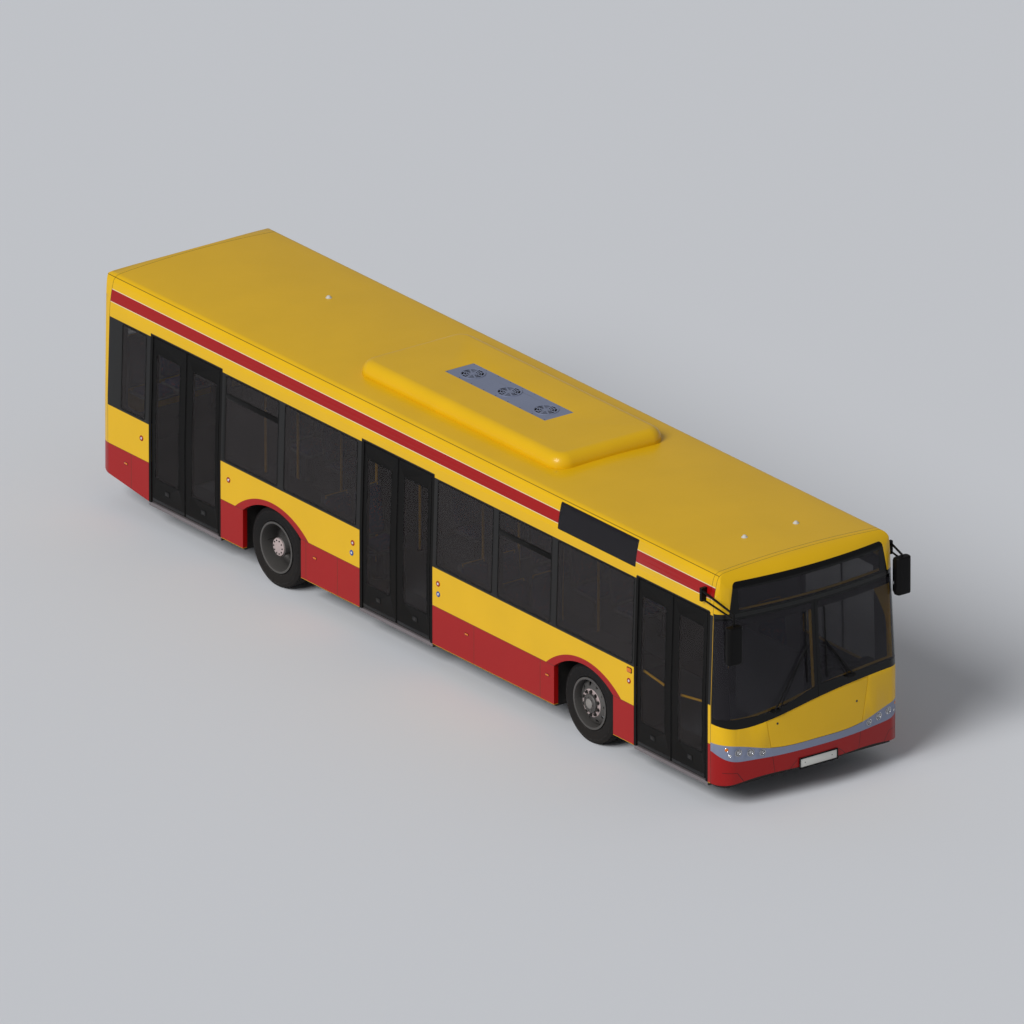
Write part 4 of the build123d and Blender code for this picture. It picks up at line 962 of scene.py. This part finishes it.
# ------------------------------------------------------------------ doors
door_centres = {"front": -4.930, "middle": 0.237, "rear": 4.270}
edge_reach, meeting_reach = 0.636, 0.003
leaf_low, leaf_high, pane_low, pane_high = 0.328, 2.325, 0.612, 2.148
leaf_skin = half_width - 0.005
for door, centre in door_centres.items():
    for hand, place in ((1, "rear"), (-1, "front")):
        edge, meeting = centre + hand * edge_reach, centre + hand * meeting_reach
        stock = Stock()
        for y in (meeting + hand * 0.0055, edge - hand * 0.006):
            stock.put(rod([(-leaf_skin, along(y), leaf_low + 0.006), (-leaf_skin, along(y), belt_height),
                (-leaf_skin, along(y), leaf_high - 0.006)], 0.0042))
        pane = sorted((edge - hand * 0.055, meeting + hand * 0.112))
        seat = facing((-leaf_skin, along(sum(pane) / 2), (pane_low + pane_high) / 2), (-1, 0, 0))
        stock.put(surround(pane[1] - pane[0] + 0.008, pane_high - pane_low + 0.008, 0.014, 0.0025, 0.029),
            seat)
        foot = facing((-leaf_skin, along(sum(pane) / 2), 0.490), (-1, 0, 0))
        stock.put(surround(0.104, 0.074, 0.012, 0.003, 0.022), foot, finish=1)
        stock.put(panel(0.084, 0.054, 0.0015, 0.014, 0.0005), foot, finish=2)
        stock.put(dish([(0, 0.005), (0.010, 0.005), (0.013, 0.0035), (0.0135, 0.001)], 28), foot, finish=3)
        kick = facing((-leaf_skin, along((edge + meeting) / 2), 0.352), (-1, 0, 0))
        stock.put(panel(0.60, 0.036, 0.0015, 0.004, 0.0006), kick, finish=2)
        bend_to_side(stock.shape)
        stock.done(f"{door}_door_{place}_seals", [seal_rubber, frame_black, door_metal, nut_steel],
            f"{door}_{place}_leaf", "door_frame")
        if door == "front":
            stock = Stock()
            outer, inner = along(edge - hand * 0.030), along(meeting + hand * 0.060)
            inside_face, rail_line = -half_width + 0.039, -half_width + 0.074
            stock.put(rod([(inside_face, outer, 1.217), (rail_line, outer - hand * 0.012, 1.214),
                (rail_line, inner + hand * 0.012, 1.142), (inside_face, inner, 1.140)], 0.015))
            for y, z in ((outer, 1.217), (inner, 1.140)):
                stock.put(dish([(0, 0), (0.028, 0), (0.028, 0.004), (0.024, 0.007), (0, 0.007)], 28),
                    facing((inside_face - 0.001, y, z), (1, 0, 0)))
            stock.done(f"front_door_{place}_grab_rail", rail_yellow, f"front_{place}_leaf", "rail_paint")
    stock = Stock()
    stock.put(slab(0.010, 1.372, 0.042, 0.002), at(-half_width + 0.007, along(centre), 0.279))
    stock.put(slab(0.060, 1.34, 0.0035, 0.0008), at(-half_width + 0.031, along(centre), 0.3012))
    for index in range(9):
        spot = facing((-half_width + 0.002, along(centre - 0.64 + index * 0.16), 0.279), (-1, 0, 0))
        stock.put(dish([(0, 0.0018), (0.003, 0.0016), (0.005, 0)], 16), spot)
    stock.done(f"{door}_threshold", threshold_metal, "body", "door_metal")

# ------------------------------------------------------------------ lamps and buttons on the sides
red_buttons = [(-4.151, 1.051), (5.098, 1.034), (3.426, 1.056), (1.056, 1.046), (-0.563, 1.068)]
blue_buttons = [(1.076, 0.919), (-0.566, 0.942)]
stock = Stock()
for spots, finish in ((red_buttons, 0), (blue_buttons, 1)):
    for y, z in spots:
        seat = facing((-half_width, along(y), z), (-1, 0, 0))
        stock.put(turned([(0.033, 0), (0.033, 0.004), (0.030, 0.007), (0.018, 0.0075), (0.0165, 0.005),
            (0.0165, 0)], 40), seat, finish=finish)
        stock.put(dish([(0.0160, 0.0005), (0.0155, 0.006), (0.013, 0.0082), (0, 0.009)], 32), seat, finish=2)
stock.done("door_buttons", [button_red, button_blue, pale_lens], "body", "body_paint")
stock = Stock()
for side in (-1, 1):
    seat = facing((side * half_width, along(-4.159 if side < 0 else -3.92), 1.184), (side, 0, 0))
    stock.put(panel(0.094, 0.066, 0.004, 0.016, 0.001), seat, finish=0)
    stock.put(panel(0.078, 0.050, 0.013, 0.014, 0.004), seat, finish=1)
    for y in (-2.62, -1.10, 1.78, 5.40) if side < 0 else (-2.62, -0.6, 1.2, 3.9, 5.40):
        seat = facing((side * half_width, along(y), 0.625), (side, 0, 0))
        stock.put(panel(0.070, 0.030, 0.003, 0.008, 0.0008), seat, finish=0)
        stock.put(panel(0.060, 0.021, 0.0055, 0.006, 0.0015), seat, finish=1)
stock.done("side_lamps", [seal_rubber, amber_lens], "body", "lamp_lens")

# ------------------------------------------------------------------ mirrors and wipers
stock = Stock()
for x, y, z in ((-half_width - 0.025, mask_low.y - 0.190 + 0.055 + 0.055, 2.130),
    (half_width + 0.025, mask_low.y + 0.160 + 0.055, 2.260)):
    seat = facing((x, y, z), (0, 1, 0))
    stock.put(surround(0.186, 0.432, 0.010, 0.0030, 0.040), seat, finish=0)
    stock.put(panel(0.168, 0.300, 0.0015, 0.026, 0.0004), seat @ at(0, 0.057, 0), finish=1)
    stock.put(panel(0.168, 0.106, 0.0025, 0.026, 0.0006), seat @ at(0, -0.153, 0), finish=1)
stock.done("mirror_faces", [seal_rubber, mirror_silver], "body", "black_plastic")
stock = Stock()
for side, foot_x, foot_z in ((-1, 0.630, 1.120), (1, 0.495, 1.300)):
    for offset in (0.0, -0.072):
        place, outward = end_spot("wipers", side * (foot_x + offset), foot_z)
        if outward.length > 0.5:
            stock.put(dish([(0.015, -0.006), (0.015, 0.002), (0.011, 0.006), (0.007, 0.008), (0, 0.0085)],
                28), facing(place, (0, -1, 0)))
stock.done("wiper_caps", plastic, "body", "black_plastic")

# ------------------------------------------------------------------ roof: fans, caps and hatches
plate_top, fan_middle = 2.9883, (-1.150 + 0.740) / 2
dark, grids = Stock(), Stock()
for step in (-1, 0, 1):
    centre = at(0, along(fan_middle + step * 0.690), plate_top)
    # each dark disc is painted shade standing in for the fan opening under its grid
    dark.put(dish([(0, 0.0004), (0.131, 0.0004), (0.131, 0.0010), (0, 0.0010)], 48), centre)
    for radius in (0.038, 0.066, 0.096, 0.128):
        grids.put(turned([(radius, 0), (radius, 0.004), (radius + 0.001, 0.005), (radius + 0.008, 0.005),
            (radius + 0.009, 0.004), (radius + 0.009, 0)], 56), centre)
    grids.put(dish([(0.024, 0), (0.024, 0.0045), (0.022, 0.006), (0, 0.0062)], 36), centre)
    for index in range(8):
        turn = Matrix.Rotation(math.tau * (index + 0.5) / 8, 4, "Z")
        grids.put(slab(0.112, 0.017, 0.004, 0.0008), centre @ turn @ at(0.077, 0, 0.0022))
    for index in range(8):
        turn = Matrix.Rotation(math.tau * index / 8, 4, "Z")
        grids.put(dish([(0, 0.004), (0.0035, 0.0035), (0.005, 0.002), (0.005, 0)], 12),
            centre @ turn @ at(0.141, 0, 0.0035), finish=1)
for x in (-0.190, 0.190):
    for index in range(9):
        grids.put(dish([(0, 0.003), (0.0045, 0.0025), (0.0065, 0)], 16),
            at(x, along(-1.120 + index * 1.830 / 8), plate_top), finish=1)
dark.done("fan_openings_painted_shade", black_and_painted_shade, "body", "grey_trim")
grids.done("fan_grids", [grey, nut_steel], "body", "grey_trim")
stock = Stock()
for x, y in ((0.316, 3.647), (-0.310, -5.024), (0.411, -5.031)):
    place, outward = roof_spot("roof_shell", x, y)
    stock.put(dish([(0, 0.030), (0.008, 0.029), (0.018, 0.024), (0.026, 0.012), (0.030, 0.005),
        (0.036, 0.004), (0.037, 0)], 36), facing(place, outward, (0, 1, 0)))
stock.done("roof_caps", cap_white, "body", "body_paint")

# ------------------------------------------------------------------ tail: lamps, louvres, hatch furniture
stock = Stock()
for side in (-1, 1):
    for z, finish in ((0.760, 3), (0.900, 1), (1.040, 1), (1.180, 2)):
        place, outward = end_spot("rear_lamps", side * 1.060, z, 1)
        seat = facing(place - outward * 0.012, outward)
        stock.put(turned([(0.0545, -0.002), (0.066, -0.002), (0.066, 0.003), (0.063, 0.006), (0.056, 0.006),
            (0.0545, 0.004)], 48), seat, finish=0)
        stock.put(dish([(0.0545, 0.001), (0.0535, 0.007), (0.048, 0.0105), (0.040, 0.011), (0.0385, 0.0095),
            (0.0365, 0.0095), (0.035, 0.0112), (0.016, 0.012), (0.0145, 0.0105), (0.0125, 0.0105),
            (0.011, 0.0122), (0, 0.0125)], 48), seat, finish=finish)
stock.done("tail_lamps", [plastic, red_lens, amber_lens, pale_lens], "body", "red_lens", 30, ["rear_lamps"])
stock = Stock()
# the black panel behind the slats is painted shade of the louvre openings
stock.put(drape(panel(1.24, 0.36, 0.003, 0.02, 0.0005), 1.14, 1, ["engine_hatch"]), finish=0)
stock.put(drape(surround(1.27, 0.39, 0.018, 0.005, 0.03), 1.14, 1, ["engine_hatch"]), finish=1)
for index in range(9):
    slat = slab(1.228, 0.022, 0.0035, 0.001)
    for corner in slat.verts:
        corner.co.z += 0.003 - corner.co.y * 0.12
        corner.co.y += -0.156 + index * 0.039
    stock.put(drape(slat, 1.14, 1, ["engine_hatch"]), finish=1)
stock.done("hatch_louvres", [black_and_painted_shade, plastic], "hatch", "body_paint")
stock = Stock()
for x in (-0.70, 0.70):
    place, outward = end_spot("engine_hatch", x, 0.72, 1)
    seat = facing(place, outward)
    stock.put(surround(0.11, 0.06, 0.008, 0.0035, 0.012), seat, finish=0)
    stock.put(panel(0.096, 0.046, 0.001, 0.008, 0.0004), seat, finish=1)
    stock.put(slab(0.070, 0.014, 0.004, 0.0015), seat @ at(0, 0.006, 0.0025), finish=0)
stock.done("hatch_latches", [plastic, black_and_painted_shade], "hatch", "black_plastic")
stock = Stock()
for x in (-0.56, 0.56):
    place, outward = end_spot("front_flap", x, 0.95)
    seat = facing(place, outward)
    stock.put(dish([(0, 0.0015), (0.009, 0.0015), (0.011, 0.0022), (0.0135, 0.0018), (0.014, 0)], 28), seat)
stock.done("flap_locks", nut_steel, "flap", "body_paint")
stock = Stock()
pipe = [(-0.62, along(5.30), 0.40), (-0.62, along(5.62), 0.38), (-0.60, along(5.80), 0.34)]
stock.put(rod(pipe, 0.055, resolution=8), finish=0)
stock.done("tail_pipe", nut_steel, "body", "cast_metal", 40)

# ------------------------------------------------------------------ saloon: seats, rails, floor, cab
seat_wide, seat_tilt = 0.42, math.radians(-8)
floor_high, deck_high, cab_high = 0.305, 1.000, 0.480


def swell(part, fullness, cap):
    """Blow a pad up as cloth over its filling, from a slightly small shape, and keep how far it may go."""
    mesh = bpy.data.meshes.new("pad")
    part.to_mesh(mesh)
    part.free()
    holder = bpy.data.objects.new("pad", mesh)
    scene.collection.objects.link(holder)
    remesh = holder.modifiers.new("even", "REMESH")
    remesh.mode = "VOXEL"
    remesh.voxel_size = 0.012
    graph = bpy.context.evaluated_depsgraph_get()
    even = bpy.data.meshes.new_from_object(holder.evaluated_get(graph))
    holder.modifiers.clear()
    holder.data = even
    start = [corner.co.copy() for corner in even.vertices]
    cloth = holder.modifiers.new("cloth", "CLOTH")
    cloth.settings.use_pressure = True
    cloth.settings.uniform_pressure_force = fullness
    cloth.settings.effector_weights.gravity = 0
    cloth.settings.quality = 5
    for step in range(1, 16):
        scene.frame_set(step)
    graph = bpy.context.evaluated_depsgraph_get()
    grown = bpy.data.meshes.new_from_object(holder.evaluated_get(graph))
    for corner, first in zip(grown.vertices, start):
        move = corner.co - first
        if move.length > cap:
            corner.co = first + move * (cap / move.length)
    holder.modifiers.clear()
    scene.frame_set(1)
    even = grown
    bpy.data.objects.remove(holder)
    return even


def pad_shape(wide, long, deep):
    """A flat pad with round corners and soft upper edges, centred on Z 0."""
    part = outline(wide, long, 0.045, 8)
    thicken(part, deep, deep * 0.35)
    bmesh.ops.translate(part, vec=(0, 0, -deep / 2), verts=part.verts)
    return part


def sewn(mesh, lines, across, depth):
    """Press sewn channels into a pad along some lines, and pull its sides in between the corners."""
    for corner in mesh.vertices:
        for line in lines:
            away = (corner.co[across] - line) / 0.006
            corner.co.z -= math.copysign(depth * math.exp(-away * away), corner.co.z)
        corner.co.x *= 1.0 - 0.02 * (1 - min(1.0, abs(corner.co.y) / 0.2) ** 2)
    return mesh


cushion_pad = sewn(swell(pad_shape(0.385, 0.385, 0.040), 4.0, 0.010), (-0.105, 0.105), 0, 0.005)
back_pad = sewn(swell(pad_shape(0.385, 0.560, 0.030), 4.0, 0.010), (-0.160, 0.120), 1, 0.004)

seat_rows = {1: (-1.9, -1.15, -0.4, 0.35, 1.1, 3.55, 4.3), -1: (-1.9, -1.15, 1.45)}
seat_columns = (0.9847, 0.5547)
seat_places = [(0.740, -4.42, cab_high)]
for side, rows in seat_rows.items():
    seat_places += [(side * x, y, floor_high) for y in rows for x in seat_columns]
seat_places += [((column - 2) * 0.45, 5.36, deck_high) for column in range(5)]

shells = Stock()
pan_shell = slab(seat_wide, 0.42, 0.022, 0.008, 3)
back_shell = slab(seat_wide, 0.018, 0.62, 0.008, 3)
pedestal = dish([(0.095, 0), (0.095, 0.008), (0.060, 0.014), (0.042, 0.05), (0.036, 0.20), (0.045, 0.36),
    (0.090, 0.392), (0.090, 0.402)], 32)
side_rib = slab(0.012, 0.40, 0.030, 0.003)
for index, (x, y, low) in enumerate(seat_places):
    base = at(x, along(y), low + 0.0003)
    lean = base @ at(0, 0.215, 0.430) @ Matrix.Rotation(seat_tilt, 4, "X")
    shells.put(pan_shell, base @ at(0, 0, 0.412), finish=0, keep=True)
    for across in (-0.195, 0.195):
        shells.put(side_rib, base @ at(across, 0, 0.420), finish=0, keep=True)
    shells.put(back_shell, lean @ at(0, 0.016, 0.330), finish=0, keep=True)
    shells.put(pedestal, base @ at(0, 0.06, 0), finish=1, keep=True)
    grip = [(-0.15, 0.012, 0.60), (-0.15, 0.014, 0.632), (0.15, 0.014, 0.632), (0.15, 0.012, 0.60)]
    shells.put(rod(grip, 0.010), lean, finish=2)
    pads = Stock()
    for mesh, place in ((cushion_pad, base @ at(0, 0, 0.4425)), (back_pad,
        lean @ at(0, -0.010, 0.325) @ Matrix.Rotation(math.pi / 2, 4, "X"))):
        copy = mesh.copy()
        copy.transform(place)
        pads.shape.from_mesh(copy)
        bpy.data.meshes.remove(copy)
    made = pads.done(f"seat_cushions_{index + 1:02d}", seat_fabric, "body", "seat_fabric", 70)
for part in (pan_shell, back_shell, pedestal, side_rib):
    part.free()
shells.done("seat_shells", [cab_grey, axle_black, rail_yellow], "body", "seat_fabric", 35, ["seats"])

stock = Stock()
rail_reach, rail_high = 0.308, 1.950
clamp = turned([(0.0155, -0.026), (0.023, -0.024), (0.025, -0.018), (0.025, 0.018), (0.023, 0.024),
    (0.0155, 0.026)], 28)
foot_ring = turned([(0.0155, 0), (0.040, 0), (0.040, 0.004), (0.034, 0.009), (0.022, 0.012), (0.0155, 0.013)],
    28)
for x in (-rail_reach, rail_reach):
    for y in (-3.7, -2.3, -0.8, 0.7, 1.9, 3.4, 4.85):
        stock.put(clamp, at(x, along(y), rail_high), keep=True)
        stock.put(clamp, at(x, along(y) + 0.045, rail_high) @ Matrix.Rotation(math.pi / 2, 4, "X"), keep=True)
        stock.put(foot_ring, at(x, along(y), floor_high), keep=True)
clamp.free()
foot_ring.free()
stock.done("rail_clamps", plastic, "body", "rail_paint")
straps = Stock()
for x in (-rail_reach, rail_reach):
    for y in (-3.0, -1.9, -1.2, 0.0, 1.2, 2.4, 2.9, 4.1):
        hang = at(x, along(y), rail_high)
        straps.put(slab(0.040, 0.030, 0.004, 0.0015), hang @ at(0, 0, 0.017), finish=0)
        for across in (-0.018, 0.018):
            straps.put(slab(0.003, 0.028, 0.13, 0.001), hang @ at(across, 0, -0.048), finish=0)
        turns = [math.tau * index / 20 for index in range(20)]
        loop = [(0.055 * math.sin(turn), 0, -0.155 - 0.055 * math.cos(turn)) for turn in turns]
        straps.put(rod(loop, 0.007, cyclic=True), hang, finish=1)
straps.done("grab_straps", [seal_rubber, plastic], "body", "rail_paint")

stock = Stock()
aisle = (0.0, 1.06, -5.55, 5.09)
sides = [(side * 0.865, 0.66, start, end) for side in (1, -1) for start, end in ((-2.66, 1.96), (3.26, 5.09))]
for x, wide, start, end in [aisle] + sides:
    stock.put(slab(wide, end - start, 0.002, 0.0004), at(x, along((start + end) / 2), floor_high + 0.0015))
stock.done("floor_covering", floor_vinyl, "body", "underframe")

dash_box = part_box("dashboard")
dash_top, dash_rear = dash_box[1].z, dash_box[1].y
stock = Stock()
stock.put(slab(0.46, 0.14, 0.030, 0.010, 3), at(0.740, dash_rear - 0.075, dash_top + 0.008), finish=0)
for across in (-0.13, 0.0, 0.13):
    dial = at(0.740 + across, dash_rear - 0.075, dash_top + 0.023)
    stock.put(turned([(0.046, 0), (0.046, 0.005), (0.042, 0.006), (0.040, 0.003), (0.040, 0)], 36), dial,
        finish=0)
    stock.put(dish([(0, 0.0012), (0.040, 0.0012), (0.040, 0)], 36), dial, finish=1)
    stock.put(slab(0.003, 0.030, 0.001, 0.0003), dial @ Matrix.Rotation(0.7, 4, "Z") @ at(0, 0.012, 0.002),
        finish=2)
for index in range(8):
    spot = at(0.50 + index * 0.028, dash_rear + 0.0015, dash_top - 0.10)
    stock.put(slab(0.020, 0.006, 0.030, 0.002), spot, finish=index % 2 * 2)
stock.done("dash_instruments", [plastic, black_and_painted_shade, plate_white], "body", "black_plastic")

# ------------------------------------------------------------------ floor of the studio
floor_shape = bmesh.new()
bmesh.ops.create_grid(floor_shape, x_segments=1, y_segments=1, size=150)
floor_mesh = bpy.data.meshes.new("studio_floor")
floor_shape.to_mesh(floor_mesh)
floor_shape.free()
floor = bpy.data.objects.new("studio_floor", floor_mesh)
scene.collection.objects.link(floor)
floor_finish = bpy.data.materials.new("studio_floor")
floor_finish.use_nodes = True
floor_finish.node_tree.nodes["Principled BSDF"].inputs["Base Color"].default_value = tone(222, 224, 228)
floor_finish.node_tree.nodes["Principled BSDF"].inputs["Roughness"].default_value = 0.9
floor_mesh.materials.append(floor_finish)

world = bpy.data.worlds.new("studio")
scene.world = world
world.use_nodes = True
world.node_tree.nodes["Background"].inputs["Color"].default_value = (0.86, 0.88, 0.92, 1)
world.node_tree.nodes["Background"].inputs["Strength"].default_value = 0.30
